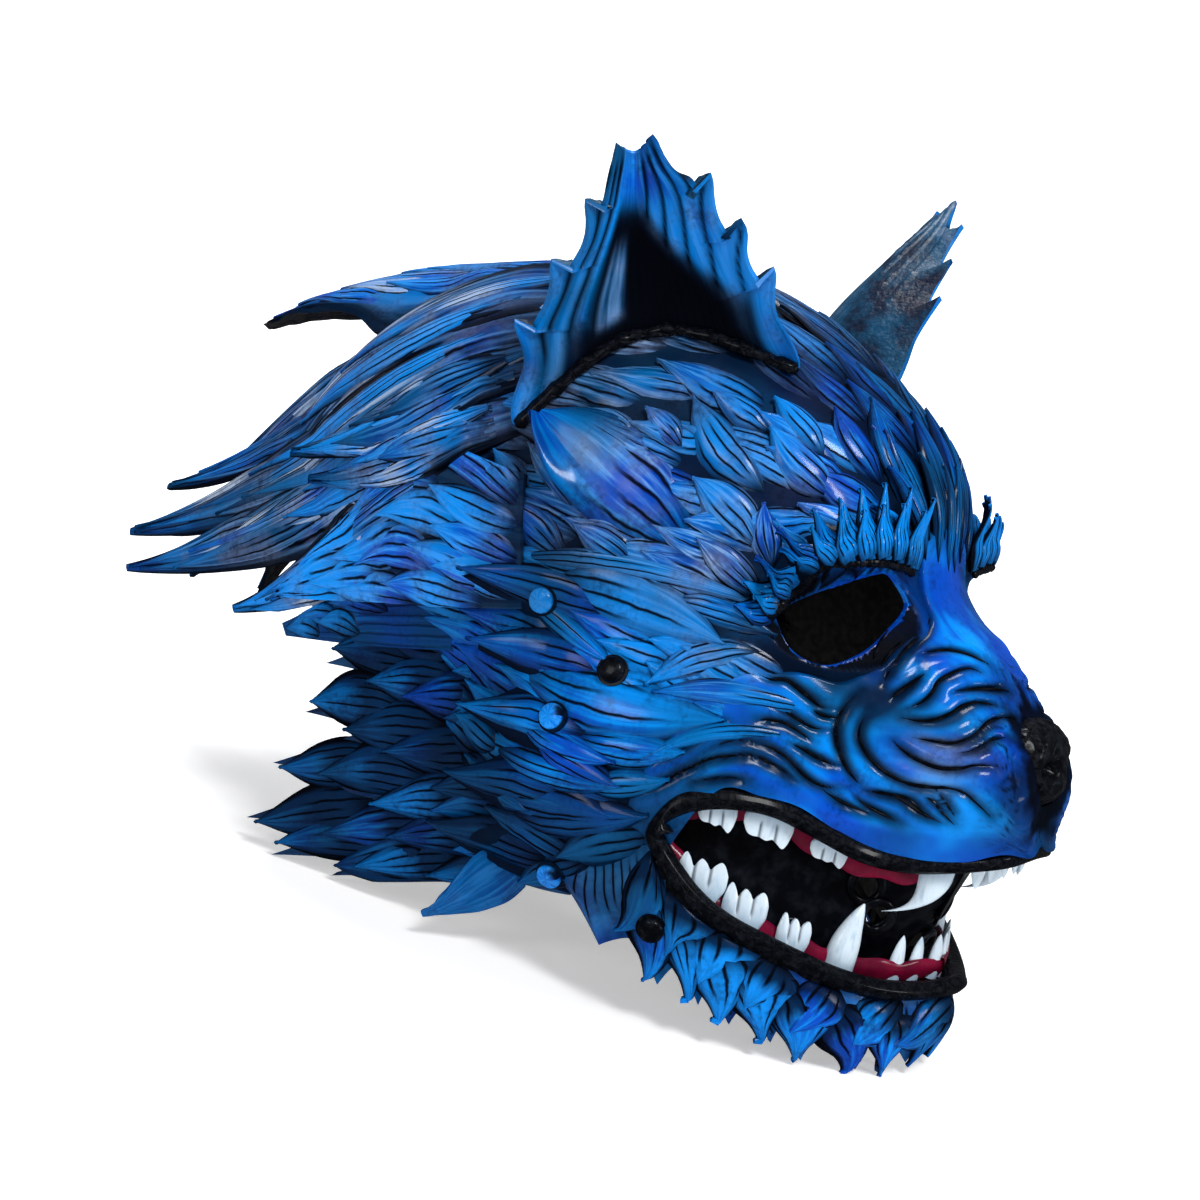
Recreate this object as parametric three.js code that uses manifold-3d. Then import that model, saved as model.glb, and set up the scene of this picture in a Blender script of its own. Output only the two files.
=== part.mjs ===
// A leather wolf mask that covers the whole head: a tooled face over a skull cap, with ears, a mane of
// long cut locks, a neck ruff and an open mouth with gums and teeth. Lengths are in millimetres.
//
// It is laid out as it is worn: x to the wearer's left, -y the way the nose points, +z up, with z = 0 at
// eye level. At the end the whole mask is turned nose up, to where it lies on a table by itself.
import * as THREE from "three";
import { mergeVertices } from "three/addons/utils/BufferGeometryUtils.js";
import Module from "manifold-3d";

const wasm = await Module();
wasm.setup();

const { degToRad, lerp, radToDeg } = THREE.MathUtils;
const V = (x, y, z) => new THREE.Vector3(x, y, z);
const ease = (t) => THREE.MathUtils.smoothstep(t, 0, 1);

// Driving sizes
const LEATHER = 2.6; // thickness of every leather piece
const GAP = 1.4; // air between layers of leather
const CLEAR = 0.9; // air left where one piece is cut round another
const REST_TILT = 17.3; // degrees the nose is raised by when the mask lies on its beard and ruff
const LOCK_RISE = 2; // relief of the tooled locks

// The form that the leather is moulded on: centres and half sizes
const CRANIUM = { at: [0, 0, 28], half: [90, 140, 104] };
const FOREHEAD = { at: [0, -90, 32], half: [60, 54, 41] };
const BROW_RIDGE = { at: [40, -127, 18], half: [27, 16, 11] };
const CHEEK = { at: [0, -35, -60], half: [94, 98, 80] };
const WHISKER_PAD = { at: [20, -158, -64], half: [19, 24, 19] };
const SNOUT = {
  tip: -180, // where the snout is cut off square for the nose
  root: -60, // where it ends inside the head
  wideAt: -99,
  wide: 64, // half width there
  narrow: 0.47, // half width lost for each millimetre forward
  bridge: [-149, -4], // a point of the ridge of the nose, which slopes at 45 degrees
  floor: -112, // below the lips, so that the walls come down steeply to them
  square: 2.4, // how square a cross-section is: 2 is an ellipse
};
const SIGHT = V(0, -60, -30); // a point inside from which the whole face can be seen
const MUZZLE_DROP = 12.5; // degrees that the nose lies below level, seen from there

// The value at a place along a list of [place, value], as a smooth curve through them
function along(stops, place) {
  const last = stops.length - 1;
  if (place <= stops[0][0]) return stops[0][1];
  if (place >= stops[last][0]) return stops[last][1];
  const i = stops.findIndex(([at]) => at > place) - 1;
  const slope = (j) => {
    const a = stops[Math.max(j - 1, 0)];
    const b = stops[Math.min(j + 1, last)];
    return (b[1] - a[1]) / (b[0] - a[0]);
  };
  const [from, a] = stops[i];
  const [to, b] = stops[i + 1];
  const width = to - from;
  const t = (place - from) / width;
  const rise = (1 - t) * (1 - t) * t * slope(i) * width;
  const fall = t * t * (t - 1) * slope(i + 1) * width;
  return lerp(a, b, ease(t)) + rise + fall;
}

const through = (points) => new THREE.CatmullRomCurve3(points, false, "centripetal");

// How far a point is outside an ellipsoid, nearly in millimetres
function outside(x, y, z, { at, half }) {
  const d = [x - at[0], y - at[1], z - at[2]];
  const near = Math.hypot(d[0] / half[0], d[1] / half[1], d[2] / half[2]);
  const steep = Math.hypot(d[0] / half[0] ** 2, d[1] / half[1] ** 2, d[2] / half[2] ** 2);
  return (near * (near - 1)) / Math.max(steep, 1e-9);
}

// The lesser of two distances, rounded where they meet over a width
function blend(a, b, width) {
  const h = Math.max(width - Math.abs(a - b), 0) / width;
  return Math.min(a, b) - (h * h * width) / 4;
}

// How far a point is outside the snout
function outsideSnout(x, y, z) {
  const front = Math.min(y, SNOUT.wideAt);
  const wide = Math.max(SNOUT.wide + (front - SNOUT.wideAt) * SNOUT.narrow, 12);
  const ridge = SNOUT.bridge[1] + (front - SNOUT.bridge[0]);
  const half = Math.max((ridge - SNOUT.floor) / 2, 12);
  const middle = SNOUT.floor + half;
  const n = SNOUT.square;
  const ring = (x / wide) ** n + (Math.abs(z - middle) / half) ** n;
  const side = (ring ** (1 / n) - 1) * Math.min(wide, half);
  const sleeve = -blend(-side, SNOUT.root - y, 12);
  return -blend(-sleeve, y - SNOUT.tip, 22);
}

// How far a point is outside the whole form
function outsideHead(p) {
  const x = Math.abs(p.x);
  let far = outside(x, p.y, p.z, CRANIUM);
  far = blend(far, outside(x, p.y, p.z, CHEEK), 24);
  far = blend(far, outside(x, p.y, p.z, FOREHEAD), 20);
  far = blend(far, outsideSnout(x, p.y, p.z), 20);
  far = blend(far, outside(x, p.y, p.z, WHISKER_PAD), 14);
  return blend(far, outside(x, p.y, p.z, BROW_RIDGE), 10);
}

// The outermost point in a direction from inside the head that is a level above its surface
function onHead(direction, level, from = SIGHT) {
  const ray = direction.clone().normalize();
  const at = (r) => from.clone().addScaledVector(ray, r);
  let far = 280;
  while (outsideHead(at(far)) > level && far > 10) far -= 4;
  let [low, high] = [far, far + 4];
  for (let i = 0; i < 14; i++) {
    const half = (low + high) / 2;
    if (outsideHead(at(half)) > level) high = half;
    else low = half;
  }
  return at((low + high) / 2);
}

// The way that the form's surface faces at a point
function outward(p) {
  const e = 1;
  const slope = (d) => outsideHead(p.clone().add(d)) - outsideHead(p.clone().sub(d));
  return V(slope(V(e, 0, 0)), slope(V(0, e, 0)), slope(V(0, 0, e))).normalize();
}

// Directions from SIGHT: psi is the angle away from the nose, phi the angle round it from straight up
const NOSE_WAY = V(0, -Math.cos(degToRad(MUZZLE_DROP)), -Math.sin(degToRad(MUZZLE_DROP)));
const OVER_NOSE = V(0, NOSE_WAY.z, -NOSE_WAY.y);
function fromNose(psi, phi) {
  const [a, b] = [degToRad(psi), degToRad(phi)];
  return NOSE_WAY.clone()
    .multiplyScalar(Math.cos(a))
    .addScaledVector(OVER_NOSE, Math.sin(a) * Math.cos(b))
    .add(V(Math.sin(a) * Math.sin(b), 0, 0));
}
function anglesOf(point) {
  const d = point.clone().sub(SIGHT).normalize();
  return [radToDeg(Math.acos(d.dot(NOSE_WAY))), radToDeg(Math.atan2(Math.abs(d.x), d.dot(OVER_NOSE)))];
}

// A manifold solid from points and triangles, turned the right way out
function solidOf(points, index) {
  const geometry = new THREE.BufferGeometry();
  geometry.setAttribute("position", new THREE.Float32BufferAttribute(points, 3));
  geometry.setIndex(index);
  const merged = mergeVertices(geometry, 1e-3);
  const triVerts = new Uint32Array(merged.index.array);
  const vertProperties = merged.attributes.position.array;
  const made = new wasm.Manifold(new wasm.Mesh({ numProp: 3, vertProperties, triVerts }));
  if (made.volume() > 0) return made;
  for (let i = 0; i < triVerts.length; i += 3)
    [triVerts[i + 1], triVerts[i + 2]] = [triVerts[i + 2], triVerts[i + 1]];
  return new wasm.Manifold(new wasm.Mesh({ numProp: 3, vertProperties, triVerts }));
}

// A geometry of three.js as a manifold solid
function solidFrom(geometry) {
  const bare = geometry.clone();
  bare.deleteAttribute("normal");
  bare.deleteAttribute("uv");
  const merged = mergeVertices(bare, 1e-3);
  return solidOf([...merged.attributes.position.array], [...merged.index.array]);
}

// A closed solid from a grid of points for each of its two faces, with walls round the edge
function solidBetween(outer, inner, rows, cols) {
  const points = [];
  for (const face of [outer, inner])
    for (let i = 0; i <= rows; i++)
      for (let j = 0; j <= cols; j++) points.push(...face(i / rows, j / cols).toArray());
  const at = (side, i, j) => side * (rows + 1) * (cols + 1) + i * (cols + 1) + j;
  const index = [];
  const quad = (a, b, c, d) => index.push(a, b, c, a, c, d);
  for (let i = 0; i < rows; i++)
    for (let j = 0; j < cols; j++) {
      quad(at(0, i, j), at(0, i + 1, j), at(0, i + 1, j + 1), at(0, i, j + 1));
      quad(at(1, i, j), at(1, i, j + 1), at(1, i + 1, j + 1), at(1, i + 1, j));
    }
  for (let i = 0; i < rows; i++) {
    quad(at(0, i, 0), at(1, i, 0), at(1, i + 1, 0), at(0, i + 1, 0));
    quad(at(0, i, cols), at(0, i + 1, cols), at(1, i + 1, cols), at(1, i, cols));
  }
  for (let j = 0; j < cols; j++) {
    quad(at(0, 0, j), at(0, 0, j + 1), at(1, 0, j + 1), at(1, 0, j));
    quad(at(0, rows, j), at(1, rows, j), at(1, rows, j + 1), at(0, rows, j + 1));
  }
  return solidOf(points, index);
}

// The way that a surface faces at a place on it
function facing(surface, u, v) {
  const step = 0.02;
  const a = surface(Math.min(u + step, 1), v).sub(surface(Math.max(u - step, 0), v));
  const b = surface(u, Math.min(v + step, 1)).sub(surface(u, Math.max(v - step, 0)));
  return a.cross(b).normalize();
}

// How far a place at a surface's edge moves out when the sheet on it swells
function rim(surface, u, v, swell) {
  const step = 0.02;
  const end = (t) => (t <= 0 ? -1 : t >= 1 ? 1 : 0);
  const way = (a, b) => surface(...b).sub(surface(...a)).normalize();
  const down = way([Math.max(u - step, 0), v], [Math.min(u + step, 1), v]);
  const across = way([u, Math.max(v - step, 0)], [u, Math.min(v + step, 1)]);
  return down.multiplyScalar(swell * end(u)).addScaledVector(across, swell * end(v));
}

// A leather sheet with one face on a surface and the other a thickness behind it. Swell makes it that
// much bigger each way, and a solid swollen by CLEAR cuts a seat for the sheet in its neighbours.
function sheet(surface, rows, cols, swell = 0, thick = LEATHER) {
  const edge = (u, v) => (swell ? rim(surface, u, v, swell) : V(0, 0, 0));
  const off = (u, v, by) => surface(u, v).addScaledVector(facing(surface, u, v), by).add(edge(u, v));
  return solidBetween(
    (u, v) => off(u, v, swell),
    (u, v) => off(u, v, -thick - swell),
    rows,
    cols,
  );
}

// A solid swept through rings: each has a centre and two radii, and the last may join the first
function sweep(rings, sides, closed = false) {
  const points = [];
  for (const { at, a, b } of rings)
    for (let j = 0; j < sides; j++) {
      const turn = (2 * Math.PI * j) / sides;
      const p = at.clone().addScaledVector(a, Math.cos(turn)).addScaledVector(b, Math.sin(turn));
      points.push(...p.toArray());
    }
  const n = rings.length;
  const id = (i, j) => (i % n) * sides + (j % sides);
  const index = [];
  for (let i = 0; i < (closed ? n : n - 1); i++)
    for (let j = 0; j < sides; j++) {
      index.push(id(i, j), id(i + 1, j), id(i + 1, j + 1));
      index.push(id(i, j), id(i + 1, j + 1), id(i, j + 1));
    }
  if (!closed)
    for (let j = 1; j < sides - 1; j++) {
      index.push(id(0, 0), id(0, j), id(0, j + 1));
      index.push(id(n - 1, 0), id(n - 1, j + 1), id(n - 1, j));
    }
  return solidOf(points, index);
}

const mirrored = (solid) => solid.mirror([1, 0, 0]);
const union = (solids) => solids.reduce((all, one) => all.add(one));

// The biggest of the bodies that a cut leaves
const biggest = (solid) => solid.decompose().sort((a, b) => b.volume() - a.volume())[0];

// Where a cut leaves slivers, points this close to a plane are dropped
const SLIVER = 0.3;

const less = (solid, ...cuts) =>
  biggest(cuts.reduce((rest, cut) => rest.subtract(cut), solid).simplify(SLIVER));

// The mouth's edges on the left side. The upper one is in degrees from the nose and round it, from the
// middle of the lip back to the corner, and the lower one runs back along the jaw.
const UPPER_EDGE = [
  [11.8, 180], [16.2, 143], [22.7, 135.4], [28.7, 133.8], [35.6, 126.4],
  [44.6, 114.5], [53.3, 109.9], [62.2, 108], [70.7, 109.8], [75.7, 112.1],
];
const LOWER_EDGE = [
  V(0, -148, -142), V(24, -139, -141), V(44, -128, -136), V(58, -118, -129),
  V(70, -107, -121), V(80, -95, -112), V(85, -86, -103), V(87, -78, -92), V(87.5, -74.5, -84),
];
const CORNER = V(87.5, -73, -79);
const BEARD_EDGE = [
  V(0, -138, -164), V(16, -131, -170), V(24, -127, -168), V(43, -112, -163), V(54, -104, -155),
  V(66, -92, -147), V(74, -83, -139), V(80, -66, -131), V(84, -38, -113),
];
const upperLip = through(UPPER_EDGE.map(([psi, phi]) => onHead(fromNose(psi, phi), 1.3)));
const lowerLip = through(LOWER_EDGE);

// The face: from the nose back over the brow and cheeks to tufts cut into its rear edge
const NOSE_HOLE = 6.5; // degrees from the nose's middle, where the leather starts
const CHEEK_EDGE = [V(84, -70, -95), V(86, -50, -112), V(88, -25, -108)];
const PAST_CORNER = [74.5, 124]; // under the trim, which cuts the leather to its shape
const FACE_SIDE = [[NOSE_HOLE, 180], ...UPPER_EDGE.slice(0, -2), PAST_CORNER, ...CHEEK_EDGE.map(anglesOf)];
// How far back the face goes, in degrees from the nose, from its top to its lower edge
const FACE_BACK = [
  [0, 73], [0.12, 78], [0.18, 94], [0.22, 106], [0.28, 113], [0.36, 118],
  [0.46, 118], [0.57, 114], [0.8, 108], [1, 103],
];
const CHEEK_TUFTS = 5;
const TUFT_REACH = [[0.5, 8], [0.8, 11], [0.92, 14], [1, 22]]; // degrees, growing down the cheek
const TUFT_LIFT = 8; // how far a tuft's tip stands off
const FACE_COLUMNS = { plain: 6, tuft: 3 }; // from the middle to the tufts, and for each tuft

// How far to the side a column of the face's grid is: the columns are closer where the tufts are
function faceSide(w) {
  const { plain, tuft } = FACE_COLUMNS;
  const tufts = tuft * CHEEK_TUFTS;
  const column = Math.abs(2 * w - 1) * (plain + tufts);
  const side = column < plain ? (0.5 * column) / plain : 0.5 + (0.5 * (column - plain)) / tufts;
  return Math.sign(2 * w - 1) * side;
}

// A row of points that each lean to one side, 0 in a valley and 1 at a tip
function tooth(t, lean = 2 / 3) {
  const f = t - Math.floor(t);
  return f < lean + 1e-3 ? Math.min(1, f / lean) ** 1.3 : ((1 - f) / (1 - lean)) ** 1.3;
}

// Relief of overlapping locks on the face: each rises to its tip, then drops to the next one
function lockRelief(u, v) {
  const row = u * 7;
  const across = Math.abs(v) * 6 + (Math.floor(row) % 2) * 0.5;
  const ridge = Math.sin(Math.PI * (across - Math.floor(across)));
  const calm = ease((u - 0.42) / 0.2) * (1 - ease((u - 0.9) / 0.1));
  return LOCK_RISE * calm * ridge * Math.min(1, 2 * (row - Math.floor(row)));
}

function facePoint(u, v, level) {
  const side = Math.abs(v);
  const cut = ease((side - 0.5) / 0.06) * tooth((side - 0.5) * (CHEEK_TUFTS / 0.5));
  const back = along(FACE_BACK, side) + cut * along(TUFT_REACH, side);
  const psi = lerp(NOSE_HOLE, back, u);
  const phi = v * along(FACE_SIDE, lerp(NOSE_HOLE, along(FACE_BACK, 1), u));
  const lift = TUFT_LIFT * cut * ease((u - 0.8) / 0.2) ** 2;
  return onHead(fromNose(psi, phi), level + lift);
}

const EYE = { at: V(42, -122, -7), faces: V(0.55, -0.83, 0) };
// The eye opening, across towards the nose and up, from its outer corner round
const EYE_EDGE = [[-24, 3], [4, 15], [15, 15.5], [24, 5.5], [15, -4], [4, -12], [-8, -15.5], [-18, -11]];

function eyeCutter() {
  const shape = new THREE.Shape(EYE_EDGE.map(([a, b]) => new THREE.Vector2(a, b)));
  const prism = new THREE.ExtrudeGeometry(shape, { depth: 60, bevelEnabled: false });
  prism.translate(0, 0, -30);
  const out = EYE.faces.clone().normalize();
  const up = V(0, 0, 1);
  const across = out.clone().cross(up);
  const seat = new THREE.Matrix4().makeBasis(across, up, across.clone().cross(up)).setPosition(EYE.at);
  prism.applyMatrix4(seat);
  return solidFrom(prism);
}

function makeFace(swell = 0) {
  const columns = 2 * (FACE_COLUMNS.plain + FACE_COLUMNS.tuft * CHEEK_TUFTS);
  const at = (level, relief) => (u, w) => {
    const v = faceSide(w) * 0.995;
    return facePoint(u, v, level + relief * lockRelief(u, v));
  };
  const shell = solidBetween(at(LEATHER + swell, 1), at(-swell, 0), 14, columns);
  // The lip under the nose, where the two sides meet
  const lip = (level) => (u, v) => onHead(fromNose(lerp(NOSE_HOLE, UPPER_EDGE[0][0], u), lerp(172, 188, v)), level);
  const whole = shell.add(solidBetween(lip(LEATHER + swell), lip(-swell), 1, 2));
  const eye = eyeCutter();
  return whole.subtract(eye).subtract(mirrored(eye));
}

// The skull cap, seen from the middle of the head: tilt goes from level ahead, over the top and down
// behind, and side goes out to each ear
const CAP_FRONT = [[0, 22], [25, 30], [50, 44], [70, 52]];
const CAP_BACK = [[0, 192], [70, 166]];
const CAP_SIDE = 68;
const CAP_FROM = V(0, 10, 10);
function makeCrown(swell = 0) {
  const at = (level) => (u, v) => {
    const side = CAP_SIDE * (2 * v - 1);
    const tilt = lerp(along(CAP_FRONT, Math.abs(side)), along(CAP_BACK, Math.abs(side)), u);
    const [a, b] = [degToRad(tilt), degToRad(side)];
    const way = V(Math.sin(b), -Math.cos(b) * Math.cos(a), Math.cos(b) * Math.sin(a));
    return onHead(way, level, CAP_FROM);
  };
  return solidBetween(at(swell - GAP), at(-swell - GAP - LEATHER), 10, 10);
}

// An ear: a sheet rolled into a trough that opens forward and out, with hooks cut into its edges
const EAR_FEET = { rear: V(85, -20, 57), front: V(36, -112, 77) };
const EAR_TIPS = { right: V(104, -79, 154), left: V(116, -102, 165) };
const EAR_OPENS = V(0.83, -0.55, -0.1);
const EAR_REAR = [[0, 50], [0.1, 55], [0.3, 46], [0.41, 42], [0.57, 28], [0.76, 14], [0.89, 9], [1, 2]];
const EAR_FRONT = [[0, 46], [0.1, 48], [0.3, 40], [0.41, 36], [0.57, 28], [0.76, 19], [0.89, 10], [1, 2]];
const EAR_DEEP = [[0, 6], [0.2, 12], [0.45, 17], [0.7, 10], [0.85, 5], [1, 1]];
const EAR_HOOKS = [5 / 12, 7 / 12, 9 / 12];
const EAR_ROWS = 12;
const EAR_SUNK = 0.35; // how far below its feet the back of the trough starts, as a share of its height

// How far the hooks stand out of an ear's edge at a height
function hooks(u) {
  const reach = EAR_HOOKS.map((top) => (u > top + 1e-6 ? 0 : Math.max(0, 1 - (top - u) / 0.12)));
  return 5 * Math.max(...reach);
}

function earSurface(tip) {
  const foot = EAR_FEET.rear.clone().lerp(EAR_FEET.front, 0.5);
  const up = tip.clone().sub(foot);
  const across = EAR_FEET.front.clone().sub(EAR_FEET.rear).normalize();
  const opens = EAR_OPENS.clone().addScaledVector(up, -EAR_OPENS.dot(up) / up.lengthSq()).normalize();
  return (u, v) => {
    const w = 2 * v - 1;
    const half = along(w < 0 ? EAR_REAR : EAR_FRONT, u) + Math.abs(w) ** 4 * hooks(u);
    return foot
      .clone()
      .addScaledVector(up, u - EAR_SUNK * (1 - u) ** 3 * (1 - w * w))
      .addScaledVector(across, w * half)
      .addScaledVector(opens, -along(EAR_DEEP, u) * (1 - w * w));
  };
}

const makeEar = (tip, swell = 0) => sheet(earSurface(tip), EAR_ROWS, 6, swell);

// A point moved out of the form, to a level above it, if it is any lower
function drape(p, level) {
  const sunk = level - outsideHead(p);
  return sunk > 0 ? p.addScaledVector(outward(p), sunk) : p;
}

// A cut lock of leather: a curved leaf that leaves its root in a given way and ends at its tip
const LEAF = [[0, 0.7], [0.3, 1], [0.55, 0.8], [0.75, 0.42], [0.9, 0.17], [1, 0.04]];
function lockSurface({ root, tip, way, wide, bow = 0.03, turn = 0.25, level = LEATHER + 1.4 }) {
  const long = root.distanceTo(tip);
  const start = root.clone().addScaledVector(way.clone().normalize(), long * 0.4);
  const ends = tip.clone().sub(root).normalize();
  ends.z += turn;
  const before = tip.clone().addScaledVector(ends.normalize(), -long * 0.35);
  before.addScaledVector(outward(before), long * bow);
  const line = new THREE.CubicBezierCurve3(root, start, before, tip);
  return (u, v) => {
    const at = line.getPoint(u);
    const out = outward(at);
    const across = line.getTangent(u).cross(out).normalize();
    const w = 2 * v - 1;
    const half = wide * along(LEAF, u);
    at.addScaledVector(across, w * half).addScaledVector(out, -0.3 * half * w * w);
    return drape(at, level);
  };
}

// A panel of locks side by side, joined where they overlap
function lockPanel(locks, swell = 0, rows = 3) {
  return union(locks.map((lock) => sheet(lockSurface(lock), rows, 2, swell)));
}

// Locks spread evenly from the first of two curves to the second
function row({ roots, tips, count, short = 0, ...shape }) {
  const [from, to] = [through(roots), through(tips)];
  return Array.from({ length: count }, (_, i) => {
    const t = i / (count - 1);
    const [root, end] = [from.getPoint(t), to.getPoint(t)];
    return { root, tip: end.lerp(root, short * (i % 2)), ...shape };
  });
}

// The ruff: a sheet from under the cheek back to a row of cut tufts, lowest first
const RUFF = {
  roots: [V(72, -34, -104), V(84, -36, -60), V(80, -36, -6)],
  tips: [V(81, 52, -106), V(85, 90, -101), V(86, 108, -86), V(87, 92, -60), V(86, 74, -36), V(84, 66, -14)],
  tufts: 6,
  notch: 0.27, // depth of a valley, as a share of the length
};
function ruffSurface(u, v) {
  const [root, tip] = [through(RUFF.roots).getPoint(v), through(RUFF.tips).getPoint(v)];
  const point = tooth(v * RUFF.tufts, 0.5);
  const at = root.lerp(tip, u * (1 - RUFF.notch * (1 - point)));
  const out = outward(at);
  const press = (1 - u) ** 2;
  at.addScaledVector(out, press * (-GAP - outsideHead(at)));
  return drape(at, -GAP).addScaledVector(out, LOCK_RISE * point * u);
}
const JOWL = { root: V(79, -16, -94), tip: V(95, 17, -113), way: V(0.3, 0.8, -0.5), wide: 10, level: -GAP };
const MANE = [
  { root: V(46, -24, 118), tip: V(45, 190, 48), way: V(0.1, 1, -0.1), wide: 23 },
  { root: V(64, -30, 94), tip: V(60, 197, 29), way: V(0.2, 1, -0.2), wide: 23 },
  { root: V(78, -24, 74), tip: V(64, 195, 14), way: V(0.1, 1, -0.3), wide: 20 },
  { root: V(88, -4, 45), tip: V(76, 124, -3), way: V(0, 1, -0.3), wide: 16 },
];
const OVER = 2 * LEATHER + 1; // the level of what lies over another layer
const MANE_TOP = [
  { root: V(76, -12, 82), tip: V(88, 84, 56), way: V(0.5, 1, -0.3), wide: 12, level: OVER },
  { root: V(86, -10, 64), tip: V(88, 75, 46), way: V(0.3, 1, -0.3), wide: 11, level: OVER },
];
const BACK = row({
  roots: [V(-40, 78, 102), V(0, 84, 116), V(40, 78, 102)],
  tips: [V(-28, 182, 50), V(0, 192, 46), V(28, 182, 50)],
  count: 4,
  way: V(0, 1, -0.3),
  wide: 19,
});
const NAPE = row({
  roots: [V(-56, 112, 66), V(0, 134, 78), V(56, 112, 66)],
  tips: [V(-54, 168, 10), V(0, 178, 2), V(54, 168, 10)],
  count: 5,
  way: V(0, 0.7, -0.7),
  wide: 18,
  short: 0.12,
});

// A flap with straight cut edges, between a lower and an upper line
function flapSurface(low, high, level) {
  const [a, b] = [through(low), through(high)];
  return (u, v) => drape(a.getPoint(u).lerp(b.getPoint(u), v), level);
}
const SIDE_FLAP = flapSurface(
  [V(88, -24, -3), V(90, 40, -1), V(88, 94, 1)],
  [V(88, -26, 44), V(88, 22, 56), V(90, 62, 27), V(88, 95, 3)],
  OVER,
);
const LOW_FLAP = flapSurface(
  [V(84, -34, -20), V(88, 50, -17), V(80, 95, -14)],
  [V(84, -34, 0), V(88, 50, 4), V(80, 97, -9)],
  0.6,
);

// The crest: a long flap down the middle of the head, half widths and drops to its edges by place
const CREST_HALF = [[-8, 26], [18, 31], [41, 34], [57, 38], [81, 36], [107, 24], [144, 11], [174, 1.5]];
const CREST_DROP = [[-8, 12], [18, 17], [41, 15], [57, 29], [81, 29], [107, 15], [144, 4], [174, 0]];
const CREST_TOP = [[-8, 132], [21, 134.5], [85, 136], [128, 131.5], [148, 128], [174, 121.5]];
function crestSurface(u, v) {
  const y = lerp(-8, 174, u);
  const w = 2 * v - 1;
  return V(w * along(CREST_HALF, y), y, along(CREST_TOP, y) - along(CREST_DROP, y) * w * w);
}

// Tufts over the eye, fanned from a sewn line: places on the face in degrees
const BROW_ROOTS = [[0, 60, 61], [0.25, 57, 52], [0.5, 52, 47], [0.75, 46.5, 38.5], [1, 40.5, 26]];
const BROW_TIPS = [[0, 67.5, 65.5], [0.25, 67, 54], [0.5, 61, 44], [0.75, 57, 31], [1, 49, 19]];
const BROW_TUFTS = 7;
function browLocks() {
  const place = (stops, t, level) => {
    const [psi, phi] = [1, 2].map((k) => along(stops.map((s) => [s[0], s[k]]), t));
    return onHead(fromNose(psi, phi), level);
  };
  return Array.from({ length: BROW_TUFTS }, (_, i) => {
    const t = i / (BROW_TUFTS - 1);
    const root = place(BROW_ROOTS, t, 5);
    const tip = place(BROW_TIPS, t, 9);
    return { root, tip, way: tip.clone().sub(root), wide: 8, bow: 0, turn: 0 };
  });
}

// The lower jaw: a wall round the chin from the lip down to a beard of cut tufts
const BEARD_TUFTS = 9;
const TUFT_DROP = 11; // from a valley to a tip
const JAW_CORNER = 0.78; // the corner of the mouth, as a share of the way round to the jaw's end
const JAW_HINGE = V(83, -40, -88); // its end at the top, under the cheek
function jawSurface(u, v) {
  const t = Math.abs(2 * v - 1);
  const side = v < 0.5 ? -1 : 1;
  const behind = Math.max(t - JAW_CORNER, 0) / (1 - JAW_CORNER);
  const top = lowerLip.getPoint(Math.min(t / JAW_CORNER, 1)).lerp(JAW_HINGE, behind);
  const low = through(BEARD_EDGE).getPoint(t);
  const cut = (1 - tooth(t * BEARD_TUFTS, 0.5)) * TUFT_DROP * ease(u * 1.4 - 0.4);
  const at = top.clone().lerp(low, u);
  at.z += cut;
  at.x = side * (at.x + 5 * Math.sin(Math.PI * u) * Math.min(1, at.x / 40));
  at.y -= 5 * Math.sin(Math.PI * u) * (1 - Math.min(1, at.x / 90));
  return at;
}

// The mouth from front to corner: t is 0 in the middle of the lips and 1 at the corner of the mouth
function mouthFrame(t, lower) {
  const [edge, other] = lower ? [lowerLip, upperLip] : [upperLip, lowerLip];
  const s = Math.abs(t);
  const at = edge.getPoint(s);
  const gape = other.getPoint(s).sub(at).normalize();
  const ahead = edge.getTangent(s);
  const inward = ahead.clone().cross(gape).normalize();
  if (lower) inward.negate();
  for (const v of [at, gape, ahead, inward]) if (t < 0) v.x = -v.x;
  return { at, gape, ahead, inward };
}

// A point of the mouth, gone that far into the gape and that far into the head from the lip's edge
function inMouth(t, lower, gape, deep) {
  const f = mouthFrame(t, lower);
  return f.at.addScaledVector(f.gape, gape).addScaledVector(f.inward, deep);
}

// The black rolled edge right round the mouth, wider at the corners
const TRIM = { wide: 2.8, deep: 3.4, corner: 4.6, in: 0.8, steps: 10 };
function makeTrim(swell = 0) {
  const rings = [];
  const lip = (t, lower) => {
    const f = mouthFrame(t, lower);
    const wide = lerp(TRIM.wide, TRIM.corner, ease((Math.abs(t) - 0.6) / 0.4));
    rings.push({
      at: f.at.addScaledVector(f.gape, wide + TRIM.in),
      a: f.gape.clone().multiplyScalar(wide + swell),
      b: f.inward.multiplyScalar(TRIM.deep + swell),
    });
  };
  const corner = (side) =>
    rings.push({
      at: V(side * CORNER.x, CORNER.y - TRIM.corner - TRIM.in, CORNER.z),
      a: V(0, -TRIM.corner - swell, 0),
      b: V(-side * (TRIM.deep + swell), 0, 0),
    });
  const n = TRIM.steps;
  for (let i = 0; i < n; i++) lip(i / n, false);
  corner(1);
  for (let i = n - 1; i > 0; i--) lip(i / n, true);
  for (let i = 0; i < n; i++) lip(-i / n, true);
  corner(-1);
  for (let i = n - 1; i > 0; i--) lip(-i / n, false);
  return sweep(rings, 5, true);
}

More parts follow.
